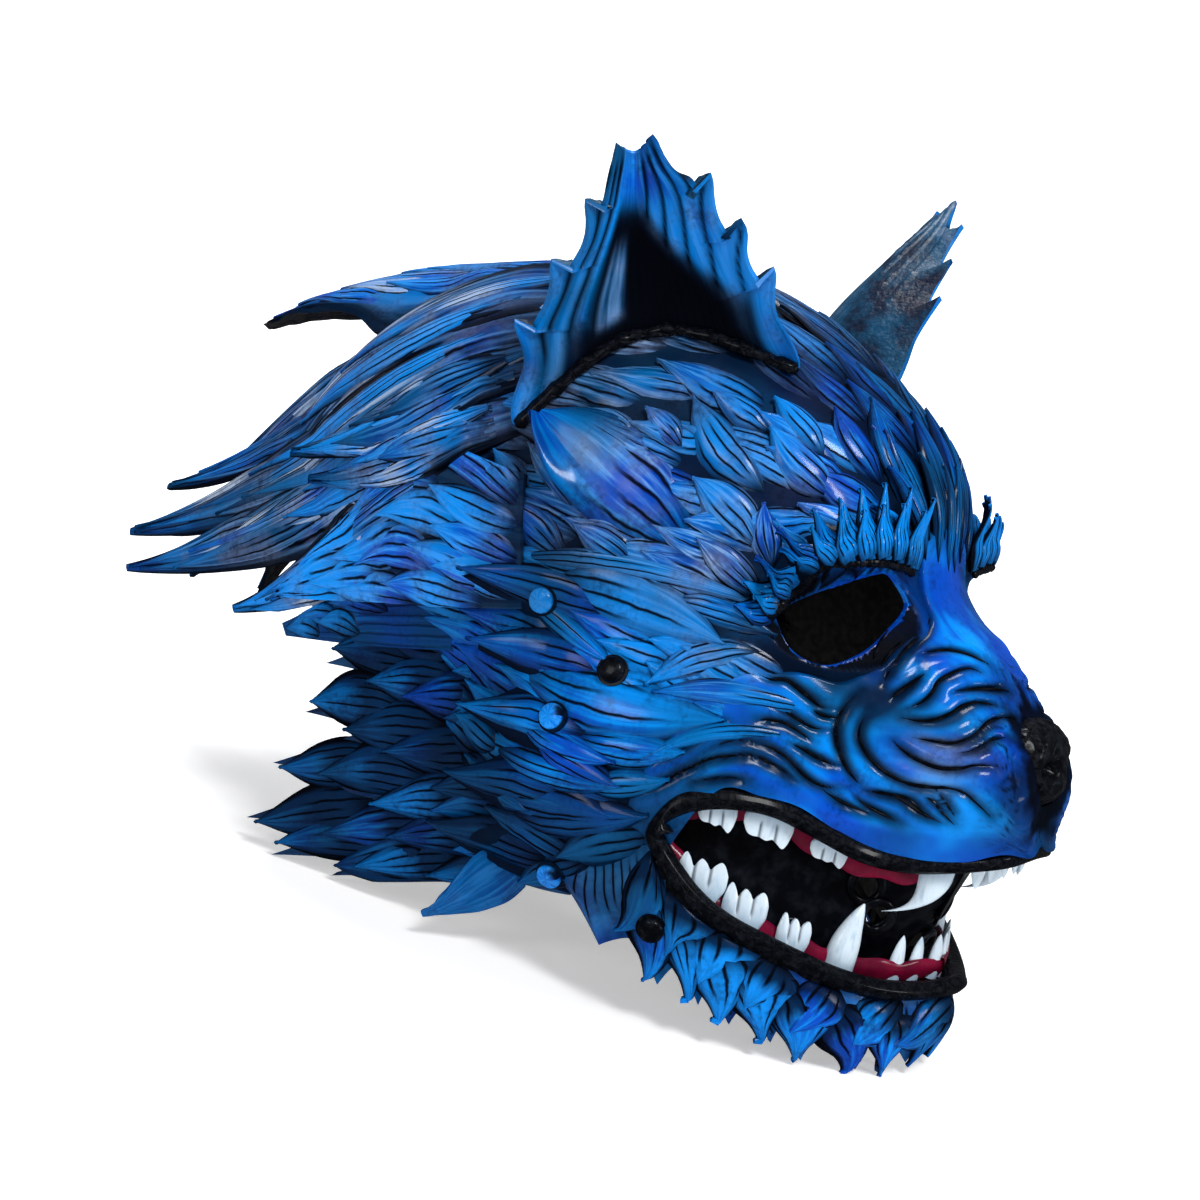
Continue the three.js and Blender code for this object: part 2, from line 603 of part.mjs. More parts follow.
// Gums: dark red strips just behind the trim
const GUM = { gape: 7, deep: 6.8, high: 5, thick: 2.6, end: 0.88, steps: 16 };
function makeGum(lower, swell = 0) {
  const rings = Array.from({ length: GUM.steps + 1 }, (_, i) => {
    const t = lerp(-GUM.end, GUM.end, i / GUM.steps);
    const f = mouthFrame(t, lower);
    return {
      at: inMouth(t, lower, GUM.gape, GUM.deep),
      a: f.gape.multiplyScalar(GUM.high + swell),
      b: f.inward.multiplyScalar(GUM.thick + swell),
    };
  });
  return sweep(rings, 5);
}

// Teeth: t is the place along the lips, wide and long are sizes, and hook leans a canine's tip back
const UPPER_MOLARS = [
  { t: 0.76, wide: 13, long: 15 },
  { t: 0.61, wide: 15, long: 16 },
  { t: 0.485, wide: 12, long: 12 },
];
const LOWER_MOLARS = [
  { t: 0.7, wide: 14, long: 17 },
  { t: 0.555, wide: 13.5, long: 17 },
  { t: 0.42, wide: 11.5, long: 16 },
];
const UPPER_CANINE = { t: 0.235, wide: 10.5, long: 27, hook: 11 };
const LOWER_CANINE = { t: 0.27, wide: 10.5, long: 29, hook: -3 };
const MOLAR_CUSPS = [[-0.5, 0], [-0.5, 0.7], [-0.25, 1], [0, 0.66], [0.3, 0.86], [0.5, 0.6], [0.5, 0]];

// A frame for a tooth: its root in the gum, the way it points and the way along the jaw
function toothSeat(t, lower) {
  const at = inMouth(t, lower, 3, GUM.deep);
  const f = mouthFrame(t, lower);
  const grows = V(0, 0, lower ? 0.5 : -1).addScaledVector(f.gape, 0.5).normalize();
  const back = f.ahead.addScaledVector(grows, -f.ahead.dot(grows)).normalize();
  return { at, grows, back, inward: f.inward };
}

function makeMolar({ t, wide, long }, lower) {
  const shape = new THREE.Shape(MOLAR_CUSPS.map(([a, b]) => new THREE.Vector2(a * wide, b * long)));
  const thick = 4.4;
  const block = new THREE.ExtrudeGeometry(shape, { depth: thick, bevelEnabled: false });
  block.translate(0, 0, -thick / 2);
  const { at, grows, back } = toothSeat(t, lower);
  block.applyMatrix4(new THREE.Matrix4().makeBasis(back, grows, back.clone().cross(grows)).setPosition(at));
  return solidFrom(block);
}

const FANG = [[0, 1], [0.4, 0.95], [0.7, 0.62], [0.9, 0.3], [1, 0.06]];
function makeFang({ t, wide, long, hook }, lower) {
  const { at, grows, back, inward } = toothSeat(t, lower);
  const rings = FANG.map(([up, size]) => ({
    at: at.clone().addScaledVector(grows, up * long).addScaledVector(back, hook * up ** 2.5),
    a: back.clone().multiplyScalar((size * wide) / 2),
    b: inward.clone().multiplyScalar(size * wide * 0.38),
  }));
  return sweep(rings, 6);
}

// A row of small front teeth, joined at their roots
const INCISORS = { teeth: 6, reach: 0.155, upper: 15, lower: 17, thick: 3.6, gap: 0.5 };
function makeIncisors(lower) {
  const long = lower ? INCISORS.lower : INCISORS.upper;
  const crown = (u, v) => {
    const side = (lower ? 1 - 2 * v : 2 * v - 1) * INCISORS.reach;
    const { at, grows } = toothSeat(side + 1e-3, lower);
    const round = Math.sin(Math.PI * v * INCISORS.teeth) ** 2;
    return at.addScaledVector(grows, u * long * (1 - INCISORS.gap * (1 - round)));
  };
  return sheet(crown, 2, INCISORS.teeth * 4, 0, INCISORS.thick);
}

// The liner: a black panel curved round behind the teeth, with holes to breathe through. A hole's place
// is how far up the panel it is and how far along the mouth.
const LINER = { deep: 18, behind: 3, end: 0.95, thick: 2 };
const LINER_HOLES = [[0.62, 0.33], [0.36, 0.2], [0.34, 0.42], [0.2, 0]];
const HOLE = 4; // radius
function linerSurface(u, v) {
  const t = LINER.end * (2 * v - 1);
  const [low, high] = [true, false].map((lower) => inMouth(t, lower, -LINER.behind, LINER.deep));
  return low.lerp(high, u);
}
function makeLiner() {
  const drills = [];
  for (const [u, t] of LINER_HOLES)
    for (const side of t ? [-1, 1] : [1]) {
      const v = 0.5 + (side * t) / LINER.end / 2;
      const drill = new THREE.CylinderGeometry(HOLE, HOLE, 16, 8);
      const turned = new THREE.Quaternion().setFromUnitVectors(V(0, 1, 0), facing(linerSurface, u, v));
      drill.applyQuaternion(turned);
      drill.translate(...linerSurface(u, v).toArray());
      drills.push(solidFrom(drill));
    }
  return less(sheet(linerSurface, 2, 14, 0, LINER.thick), ...drills);
}

// The nose: a black pad with two nostrils
const NOSE = { at: V(0, -177, -57), half: V(20, 15, 16), nostril: V(9, -191, -60) };
function makeNose(swell = 0) {
  const pad = new THREE.SphereGeometry(1, 12, 8);
  const at = pad.attributes.position;
  for (let i = 0; i < at.count; i++) {
    const p = V(at.getX(i), at.getY(i), at.getZ(i));
    for (const k of ["x", "y", "z"]) p[k] = Math.sign(p[k]) * Math.abs(p[k]) ** 0.8;
    at.setXYZ(i, ...NOSE.half.clone().addScalar(swell).multiply(p).add(NOSE.at).toArray());
  }
  const solid = solidFrom(pad);
  if (swell) return solid;
  const pits = [-1, 1].map((side) => {
    const pit = new THREE.SphereGeometry(5, 8, 6);
    pit.scale(1, 1.2, 0.8);
    pit.translate(side * NOSE.nostril.x, NOSE.nostril.y, NOSE.nostril.z);
    return solidFrom(pit);
  });
  return pits.reduce((rest, pit) => rest.subtract(pit), solid);
}

// Rivets through the cheek, by degrees from the nose and round it, and one through the jaw
const RIVET = { radius: 4.4, above: 1.2, below: 1.2 };
const CHEEK_RIVETS = [[110.8, 75], [91.3, 87], [100.2, 99.5], [95.5, 129]];
const JAW_RIVET = { u: 0.6, v: 0.9 };
function rivetPlaces() {
  const cheek = CHEEK_RIVETS.map(([psi, phi]) => {
    const at = onHead(fromNose(psi, phi), LEATHER / 2);
    return { at, out: outward(at) };
  });
  const out = facing(jawSurface, JAW_RIVET.u, JAW_RIVET.v);
  const at = jawSurface(JAW_RIVET.u, JAW_RIVET.v).addScaledVector(out, -LEATHER / 2);
  return [...cheek, { at, out }];
}
function makeRivet({ at, out }, swell = 0) {
  const long = LEATHER + LOCK_RISE + RIVET.above + RIVET.below;
  const pin = new THREE.CylinderGeometry(RIVET.radius + swell, RIVET.radius + swell, long + swell * 40, 8);
  pin.applyQuaternion(new THREE.Quaternion().setFromUnitVectors(V(0, 1, 0), out));
  pin.translate(...at.clone().addScaledVector(out, LOCK_RISE / 2).toArray());
  return solidFrom(pin);
}

// Every piece, cut clear of the pieces that lie over it. Each seat has both sides, and a piece of a pair
// is mirrored before it is cut.
const pieces = {};
const bothSides = (solid) => solid.add(mirrored(solid));
function addPair(name, left, seats, right = mirrored(left)) {
  pieces[name + "_left"] = less(left, ...seats);
  pieces[name + "_right"] = less(right, ...seats);
}

const places = rivetPlaces();
const rivetSeats = bothSides(union(places.map((place) => makeRivet(place, CLEAR))));
const trimSeat = makeTrim(1.8 * CLEAR);
const faceSeat = makeFace(CLEAR);
const crownSeat = makeCrown(CLEAR);
const crestSeat = sheet(crestSurface, 12, 4, CLEAR);
const earSeats = makeEar(EAR_TIPS.left, CLEAR).add(mirrored(makeEar(EAR_TIPS.right, CLEAR)));
const sideFlap = (swell) => sheet(SIDE_FLAP, 7, 3, swell);
const lowFlap = (swell) => sheet(LOW_FLAP, 5, 1, swell);
const mane = (swell) => lockPanel([...MANE, ...MANE_TOP], swell);
const flapSeats = bothSides(sideFlap(CLEAR));
const maneSeats = bothSides(mane(CLEAR));

pieces.face = less(less(makeFace(), makeNose(CLEAR), trimSeat, rivetSeats), makeTrim(CLEAR));
pieces.crown = less(makeCrown(), faceSeat);
addPair("ear", makeEar(EAR_TIPS.left), [crownSeat, faceSeat], mirrored(makeEar(EAR_TIPS.right)));
addPair("brow", lockPanel(browLocks(), 0, 2), [faceSeat]);
addPair("mane_side", sideFlap(0), [faceSeat]);
addPair("mane_upper", mane(0), [crownSeat, faceSeat, flapSeats, crestSeat, earSeats]);
addPair("mane_lower", lowFlap(0), [crownSeat, faceSeat, flapSeats, maneSeats, rivetSeats]);
const lowSeats = bothSides(lowFlap(CLEAR));
addPair("ruff", sheet(ruffSurface, 4, RUFF.tufts * 4).add(sheet(lockSurface(JOWL), 3, 2)), [
  crownSeat,
  faceSeat,
  lowSeats,
  rivetSeats,
]);
pieces.crest = less(sheet(crestSurface, 12, 4), crownSeat, earSeats);
pieces.mane_back = less(lockPanel(BACK), maneSeats, crestSeat);
pieces.mane_nape = less(lockPanel(NAPE), maneSeats, lockPanel(BACK, CLEAR));
const ruffSeats = bothSides(sheet(ruffSurface, 4, RUFF.tufts * 4, CLEAR));
pieces.jaw = less(sheet(jawSurface, 3, 36), trimSeat, faceSeat, rivetSeats, ruffSeats);
pieces.lip_trim = makeTrim();
pieces.gum_upper = makeGum(false);
pieces.gum_lower = makeGum(true);
pieces.mouth_liner = makeLiner();
pieces.nose_pad = makeNose();
for (const lower of [false, true]) {
  const jaw = lower ? "lower" : "upper";
  const seats = [makeGum(lower, CLEAR), trimSeat];
  const molars = lower ? LOWER_MOLARS : UPPER_MOLARS;
  const fang = lower ? LOWER_CANINE : UPPER_CANINE;
  const teeth = { ["canine_" + jaw]: makeFang(fang, lower) };
  molars.forEach((molar, i) => (teeth[`molar_${jaw}_${i + 1}`] = makeMolar(molar, lower)));
  for (const [name, solid] of Object.entries(teeth)) addPair(name, solid, seats);
  pieces["incisors_" + jaw] = less(makeIncisors(lower), ...seats);
}
places.forEach((place, i) => addPair("rivet_" + (i + 1), makeRivet(place), []));

// Colours, with how rough each surface is
const FINISH = {
  blue: new THREE.MeshStandardMaterial({ color: 0x0a56c8, roughness: 0.42 }),
  black: new THREE.MeshStandardMaterial({ color: 0x0c0d12, roughness: 0.45 }),
  gum: new THREE.MeshStandardMaterial({ color: 0x6e1030, roughness: 0.3 }),
  tooth: new THREE.MeshStandardMaterial({ color: 0xd5e3f2, roughness: 0.35 }),
};
function finishOf(name) {
  if (/lip|liner|nose|rivet_[25]/.test(name)) return FINISH.black;
  if (/gum/.test(name)) return FINISH.gum;
  return /molar|canine|incisors/.test(name) ? FINISH.tooth : FINISH.blue;
}

// A solid as a mesh of three.js
function meshOf(name, solid) {
  const mesh = solid.getMesh();
  const n = mesh.numProp;
  const position = new Float32Array(mesh.numVert * 3);
  for (let i = 0; i < mesh.numVert; i++)
    position.set(mesh.vertProperties.subarray(i * n, i * n + 3), i * 3);
  const geometry = new THREE.BufferGeometry();
  geometry.setAttribute("position", new THREE.BufferAttribute(position, 3));
  geometry.setIndex(new THREE.BufferAttribute(mesh.triVerts, 1));
  const made = new THREE.Mesh(geometry, finishOf(name).clone());
  made.name = name;
  return made;
}

// The mask as it lies: turned nose up, its lowest points on z = 0 and the middle of its bounds on the axis
const mask = new THREE.Group();
mask.rotation.x = -degToRad(REST_TILT);
for (const [name, solid] of Object.entries(pieces)) mask.add(meshOf(name, solid));
const bounds = new THREE.Box3().setFromObject(mask, true);
const middle = bounds.getCenter(V(0, 0, 0));
mask.position.set(-middle.x, -middle.y, -bounds.min.z);

const laid = new THREE.Group();
laid.add(mask);
export default laid;
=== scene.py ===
"""A blue leather wolf mask that covers the whole head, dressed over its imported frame.

Shapes are worked out as the mask is worn, in millimetres: x to the wearer's left, -y the way the nose
points, z up from eye level. lay_down turns them to where the mask lies on a table, in metres."""
import itertools
from math import cos, pi, radians, sin

import bpy
import numpy as np
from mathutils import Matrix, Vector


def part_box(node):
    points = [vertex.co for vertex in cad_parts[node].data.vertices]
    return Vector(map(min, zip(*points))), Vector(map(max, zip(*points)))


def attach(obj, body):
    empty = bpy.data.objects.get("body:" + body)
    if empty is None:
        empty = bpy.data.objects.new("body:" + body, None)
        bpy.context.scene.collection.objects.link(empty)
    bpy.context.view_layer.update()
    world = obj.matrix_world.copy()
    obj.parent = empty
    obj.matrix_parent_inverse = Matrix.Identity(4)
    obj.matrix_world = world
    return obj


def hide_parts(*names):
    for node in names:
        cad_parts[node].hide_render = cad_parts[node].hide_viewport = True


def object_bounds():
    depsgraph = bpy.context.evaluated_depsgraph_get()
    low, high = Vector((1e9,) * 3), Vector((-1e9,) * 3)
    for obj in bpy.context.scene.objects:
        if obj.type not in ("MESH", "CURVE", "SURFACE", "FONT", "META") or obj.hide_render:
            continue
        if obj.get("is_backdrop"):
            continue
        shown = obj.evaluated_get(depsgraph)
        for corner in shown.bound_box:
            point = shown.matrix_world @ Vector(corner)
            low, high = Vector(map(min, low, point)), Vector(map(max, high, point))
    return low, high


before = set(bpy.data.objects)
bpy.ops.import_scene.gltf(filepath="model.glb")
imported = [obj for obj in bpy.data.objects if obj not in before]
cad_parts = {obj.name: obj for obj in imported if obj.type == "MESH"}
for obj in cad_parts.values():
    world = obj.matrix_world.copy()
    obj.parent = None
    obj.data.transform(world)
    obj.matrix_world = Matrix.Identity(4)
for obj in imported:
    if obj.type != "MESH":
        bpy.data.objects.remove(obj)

bl_info = {
    "name": "Leather Wolf Mask",
    "version": (1, 0, 0),
    "blender": (4, 5, 0),
    "location": "View3D > Sidebar > Wolf Mask",
    "description": "Builds a tooled blue leather wolf mask over its packed frame",
    "category": "Object",
}

FRAME_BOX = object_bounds()

# The camera looks level across the worn mask: how far it is turned from straight across, and its lens and film
# in millimetres
CAMERA_TURN = radians(32)
CAMERA_LENS = 60
CAMERA_FILM = 36

# Sizes that the frame's solids are made to as well
LEATHER = 2.6
GAP = 1.4
OVER = 2 * LEATHER + 1
REST_TILT = radians(17.3)
CRANIUM = ((0, 0, 28), (90, 140, 104))
FOREHEAD = ((0, -90, 32), (60, 54, 41))
BROW_RIDGE = ((40, -127, 18), (27, 16, 11))
CHEEK = ((0, -35, -60), (94, 98, 80))
WHISKER_PAD = ((20, -158, -64), (19, 24, 19))
SIGHT = np.array([0, -60, -30.0])
CAP_FROM = np.array([0, 10, 10.0])
MUZZLE_DROP = radians(12.5)
NOSE_WAY = np.array([0, -cos(MUZZLE_DROP), -sin(MUZZLE_DROP)])
OVER_NOSE = np.array([0, NOSE_WAY[2], -NOSE_WAY[1]])
NOSE_AT = np.array([0, -177, -57.0])

# How far out the search for the head's surface starts, and the steps that it comes in by
SEARCH_FROM = 280.0
SEARCH_STEP = 4


# Curves and fields

def vec(*numbers):
    return np.array(numbers, float)


def grid(rows, cols, low=0, high=1):
    """Places from 0 to 1 down rows, and from low to high across columns"""
    return np.meshgrid(np.linspace(0, 1, rows), np.linspace(low, high, cols), indexing="ij")


def flat_curve(places):
    """A smooth curve through places given by two numbers each"""
    return through([(*place, 0) for place in places])


def mirrored(p):
    """Points of the right side moved to the left one"""
    return p * np.where(p[..., :1] < 0, (-1, 1, 1), (1, 1, 1))


def unit(v):
    return v / np.maximum(np.linalg.norm(v, axis=-1, keepdims=True), 1e-9)


def ease(t):
    t = np.clip(t, 0, 1)
    return t * t * (3 - 2 * t)


def between(value, low, high):
    """0 up to low, 1 from high on"""
    return ease((value - low) / (high - low))


def along(stops, place):
    """The value at a place along a list of (place, value), as a smooth curve through them"""
    x, y = np.array(stops, float).T
    i = np.clip(np.searchsorted(x, place, side="right") - 1, 0, len(x) - 2)
    before = np.maximum(np.arange(len(x)) - 1, 0)
    after = np.minimum(np.arange(len(x)) + 1, len(x) - 1)
    slope = (y[after] - y[before]) / (x[after] - x[before])
    width = x[i + 1] - x[i]
    t = np.clip((place - x[i]) / width, 0, 1)
    bow = (1 - t) ** 2 * t * slope[i] + t * t * (t - 1) * slope[i + 1]
    return y[i] + (y[i + 1] - y[i]) * ease(t) + bow * width


def through(points):
    """A smooth curve through points, as a function of t from 0 to 1"""
    p = np.array(points, float)
    p = np.concatenate([[2 * p[0] - p[1]], p, [2 * p[-1] - p[-2]]])
    spans = len(p) - 3

    def curve(t):
        at = np.clip(np.asarray(t, float), 0, 1) * spans
        i = np.minimum(at.astype(int), spans - 1)
        w = (at - i)[..., None]
        a, b, c, d = (p[i + k] for k in range(4))
        pairs = ((b, a), (c, b), (d, c))
        ab, bc, cd = (np.linalg.norm(q - r, axis=-1, keepdims=True) ** 0.5 for q, r in pairs)
        m = ((b - a) / ab - (c - a) / (ab + bc) + (c - b) / bc) * bc
        n = ((c - b) / bc - (d - b) / (bc + cd) + (d - c) / cd) * bc
        return b + w * m + w * w * (3 * (c - b) - 2 * m - n) + w**3 * (2 * (b - c) + m + n)

    return curve


def tangent(curve, t):
    t = np.asarray(t, float)
    return unit(curve(np.minimum(t + 1e-4, 1)) - curve(np.maximum(t - 1e-4, 0)))


def speckle(p, size, seed=0):
    """Smooth noise from -1 to 1 at each point, with bumps of a size in millimetres"""
    q = p / size + 17.3 * seed
    cell = np.floor(q).astype(np.int64)
    f = ease(q - cell)
    total = np.zeros(q.shape[:-1])
    for corner in itertools.product((0, 1), repeat=3):
        c = cell + corner
        h = (c[..., 0] * 73856093) ^ (c[..., 1] * 19349663) ^ (c[..., 2] * 83492791)
        h = ((h ^ (h >> 13)) * 1274126177) & 0xFFFFFF
        total += np.prod(np.where(corner, f, 1 - f), axis=-1) * h
    return total / 0x7FFFFF - 1


# The head that the leather is moulded on

def outside(x, y, z, form):
    at, half = form
    d = (x - at[0], y - at[1], z - at[2])
    near = np.sqrt(sum((d[k] / half[k]) ** 2 for k in range(3)))
    steep = np.sqrt(sum((d[k] / half[k] ** 2) ** 2 for k in range(3)))
    return near * (near - 1) / np.maximum(steep, 1e-9)


def blend(a, b, width):
    h = np.maximum(width - np.abs(a - b), 0) / width
    return np.minimum(a, b) - h * h * width / 4


def outside_snout(x, y, z):
    front = np.minimum(y, -99)
    wide = np.maximum(64 + (front + 99) * 0.47, 12)
    half = np.maximum((front + 145 + 112) / 2, 12)
    ring = ((x / wide) ** 2.4 + (np.abs(z + 112 - half) / half) ** 2.4) ** (1 / 2.4)
    side = (ring - 1) * np.minimum(wide, half)
    sleeve = -blend(-side, -60 - y, 12)
    return -blend(-sleeve, y + 180, 22)


def outside_head(p):
    """How far points are outside the head, nearly in millimetres"""
    x, y, z = np.abs(p[..., 0]), p[..., 1], p[..., 2]
    far = blend(outside(x, y, z, CRANIUM), outside(x, y, z, CHEEK), 24)
    far = blend(far, outside(x, y, z, FOREHEAD), 20)
    far = blend(far, outside_snout(x, y, z), 20)
    far = blend(far, outside(x, y, z, WHISKER_PAD), 14)
    return blend(far, outside(x, y, z, BROW_RIDGE), 10)


def outward(p):
    """The way that the head's surface faces at points"""
    slopes = [outside_head(p + e) - outside_head(p - e) for e in np.eye(3)]
    return unit(np.stack(slopes, -1))


def on_head(way, level, start=SIGHT):
    """The outermost points in a direction from inside the head that are a level above it"""
    way = unit(way)
    level = np.broadcast_to(level, way.shape[:-1]).ravel()
    ray = way.reshape(-1, 3)
    far = np.full(len(ray), SEARCH_FROM)
    going = np.arange(len(ray))
    while len(going):
        going = going[outside_head(start + ray[going] * far[going, None]) > level[going]]
        far[going] -= SEARCH_STEP
        going = going[far[going] > 10]
    low, high = far, far + SEARCH_STEP
    for _ in range(12):
        half = (low + high) / 2
        out = outside_head(start + ray * half[:, None]) > level
        low, high = np.where(out, low, half), np.where(out, half, high)
    return (start + ray * ((low + high) / 2)[:, None]).reshape(way.shape)


def from_nose(psi, phi):
    """Directions by the angle away from the nose and the angle round it from straight up, in degrees"""
    a, b = np.radians(psi), np.radians(phi)
    side = np.stack([np.sin(a) * np.sin(b), 0 * a * b, 0 * a * b], -1)
    return np.cos(a)[..., None] * NOSE_WAY + (np.sin(a) * np.cos(b))[..., None] * OVER_NOSE + side


def on_face(psi, phi, level):
    psi, phi = np.broadcast_arrays(psi, phi)
    return on_head(from_nose(psi, phi), level)


def drape(p, level):
    """Points moved out of the head to a level above it, where they are any lower"""
    return p + outward(p) * np.maximum(level - outside_head(p), 0)[..., None]


NOSE_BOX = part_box("nose_pad")


def turned(p):
    c, s = cos(REST_TILT), sin(REST_TILT)
    return np.stack([p[..., 0], p[..., 1] * c + p[..., 2] * s, p[..., 2] * c - p[..., 1] * s], -1)


LAID_AT = (np.array(NOSE_BOX[0]) + np.array(NOSE_BOX[1])) * 500 - turned(NOSE_AT)


def lay_down(p):
    """Points of the worn mask in millimetres, as it lies on the table, in metres"""
    return (turned(p) + LAID_AT) / 1000


def flip(p):
    """A left side's grid of points as the right side's, still facing out"""
    return (p * (-1, 1, 1))[..., ::-1, :]


def as_it_is(p):
    return p


def both_sides(left):
    return np.concatenate([left, flip(left)])


SIDES = {"left": as_it_is, "right": flip}


def turned_notes(side, **notes):
    """Numbers for a side's grid of corners, from those for the left one"""
    return notes if side == "left" else {key: value[:, ::-1] for key, value in notes.items()}


# Carriers: surfaces that leaves are laid on. Each takes two places and a height above it.

def facing(surface, u, v, away):
    """The way that a surface faces at places on it, on the side that away points to"""
    step = 0.01
    a = surface(np.minimum(u + step, 1), v) - surface(np.maximum(u - step, 0), v)
    b = surface(u, np.minimum(v + step, 1)) - surface(u, np.maximum(v - step, 0))
    n = unit(np.cross(a, b))
    p = surface(u, v)
    way = away(p) if callable(away) else np.broadcast_to(away, p.shape)
    side = np.sign(np.sum(n * way, axis=-1).sum())
    return n * (side if side else 1)


def carrier(surface, away=outward, base=0.0):
    def at(u, v, height):
        u, v = np.broadcast_arrays(np.clip(u, 0, 1), np.clip(v, 0, 1))
        return surface(u, v) + facing(surface, u, v, away) * (np.asarray(height) + base)[..., None]
    return at


def face_carrier(level):
    def at(psi, phi, height):
        psi, phi, height = np.broadcast_arrays(psi, phi, height)
        return on_face(psi, phi, level + height)
    return at


# Leaf outlines: half width by place from root to tip
LENS = [(0, 0.04), (0.12, 0.5), (0.3, 0.9), (0.5, 1), (0.7, 0.84), (0.86, 0.46), (0.95, 0.17), (1, 0.01)]
TUFT = [(0, 0.6), (0.25, 0.95), (0.45, 1), (0.65, 0.8), (0.82, 0.42), (0.94, 0.14), (1, 0.01)]
HOOK = [(0, 0.55), (0.2, 0.9), (0.4, 1), (0.55, 0.85), (0.72, 0.5), (0.88, 0.22), (1, 0.01)]
SPIKE = [(0, 0.8), (0.2, 1), (0.45, 0.86), (0.7, 0.48), (0.88, 0.2), (1, 0.01)]
HAIR = [(0, 0.35), (0.2, 0.85), (0.4, 1), (0.65, 0.8), (0.85, 0.38), (0.95, 0.13), (1, 0.01)]


def leaf_places(rows, cols):
    """Places on each leaf, from 0 at its root to 1 at its tip, and from -1 to 1 across it"""
    return np.linspace(0, 1, rows)[None, :, None], np.linspace(-1, 1, cols)[None, None, :]


def by_chance(bed, rng, low, high):
    """A number for each leaf of a bed"""
    return rng.uniform(low, high, len(bed))[:, None, None]


def leaves(at, roots, tips, wide, shape=LENS, rise=2.0, lift=1.0, bend=0.0, curl=0.0, sunk=0.8, steps=(12, 6)):
    """Points of many leaves laid on a carrier. Roots and tips are places on it, wide is a half width in
    millimetres, bend bows a leaf to one side, curl swings its tip, and lift raises the tip."""
    roots, tips = np.array(roots, float), np.array(tips, float)
    n = len(roots)
    wide, rise, lift, bend, curl = (np.broadcast_to(q, n)[:, None, None] for q in (wide, rise, lift, bend, curl))
    mid, zero = (roots + tips) / 2, np.zeros(n)
    step = np.maximum(np.abs(tips - roots).max(axis=1), 1e-3) * 0.1
    here = at(*mid.T, zero)
    u, v = mid.T
    a = (at(u + step, v, zero) - at(u - step, v, zero)) / (2 * step[:, None])
    b = (at(u, v + step, zero) - at(u, v - step, zero)) / (2 * step[:, None])
    out = unit(at(u, v, zero + 2) - here)
    run = a * (tips - roots)[:, :1] + b * (tips - roots)[:, 1:]
    side = unit(np.cross(out, run))
    aa, ab, bb = (np.sum(p * q, axis=-1) for p, q in ((a, a), (a, b), (b, b)))
    sa, sb = np.sum(side * a, axis=-1), np.sum(side * b, axis=-1)
    det = np.maximum(aa * bb - ab * ab, 1e-9)
    per_mm = np.stack([(bb * sa - ab * sb) / det, (aa * sb - ab * sa) / det], -1)[:, None, None, :]
    s, w = leaf_places(steps[0] + 1, steps[1] + 1)
    long = np.linalg.norm(run, axis=-1)[:, None, None]
    off = w * wide * along(shape, s) + long * (bend * 4 * s * (1 - s) + curl * s**3)
    place = roots[:, None, None, :] + (tips - roots)[:, None, None, :] * s[..., None] + per_mm * off[..., None]
    camber = (1 - np.abs(w) ** 2.5) * np.minimum(1, 0.35 + 2.2 * s)
    free = between(s, 0.45, 1.0)
    height = -sunk * (1 - free) + (rise + sunk * (1 - free)) * camber + lift * free
    height = np.broadcast_to(height, place.shape[:-1])
    return at(place[..., 0], place[..., 1], height)


# Making meshes

def only(made):
    bpy.ops.object.select_all(action="DESELECT")
    made.select_set(True)
    bpy.context.view_layer.objects.active = made


def primitive(name, add, **settings):
    bpy.ops.object.select_all(action="DESELECT")
    add(**settings)
    made = bpy.context.object
    made.name = made.data.name = name
    return made


def corners(made):
    co = np.empty(len(made.data.vertices) * 3)
    made.data.vertices.foreach_get("co", co)
    return co.reshape(-1, 3)


def start_grid(name, rows, cols):
    """A flat grid from the primitive, and the row and column that each corner stands in"""
    made = primitive(name, bpy.ops.mesh.primitive_grid_add, x_subdivisions=rows, y_subdivisions=cols, size=1)
    row, col = np.rint((corners(made)[:, :2] + 0.5) * (rows, cols)).astype(int).T
    return made, row, col


def set_points(made, points):
    made.data.vertices.foreach_set("co", np.ascontiguousarray(points, np.float32).ravel())
    made.data.update()


def note(made, **values):
    """Keep numbers on a mesh's corners for its material"""
    for name, value in values.items():
        layer = made.data.attributes.new(name, "FLOAT", "POINT")
        layer.data.foreach_set("value", np.ascontiguousarray(value, np.float32).ravel())


def apply(made, kind, **settings):
    only(made)
    modifier = made.modifiers.new(kind.title(), kind)
    for key, value in settings.items():
        setattr(modifier, key, value)
    bpy.ops.object.modifier_apply(modifier=modifier.name)


def smooth(made, angle=50):
    only(made)
    bpy.ops.object.shade_smooth_by_angle(angle=radians(angle))
    return made


def edit(made, *steps):
    """Run edit mode operators on all of a mesh"""
    only(made)
    bpy.ops.object.mode_set(mode="EDIT")
    bpy.ops.mesh.select_all(action="SELECT")
    for step, settings in steps:
        step(**settings)
    bpy.ops.object.mode_set(mode="OBJECT")


MERGE = (bpy.ops.mesh.remove_doubles, {"threshold": 2e-5})
FACE_OUT = (bpy.ops.mesh.normals_make_consistent, {"inside": False})
TURN_ROUND = (bpy.ops.mesh.flip_normals, {})


def laid_grid(name, points, notes):
    """A grid mesh with its corners at a grid of points"""
    made, i, j = start_grid(name, points.shape[0] - 1, points.shape[1] - 1)
    set_points(made, lay_down(points)[i, j])
    note(made, **{key: np.broadcast_to(value, points.shape[:2])[i, j] for key, value in notes.items()})
    return made


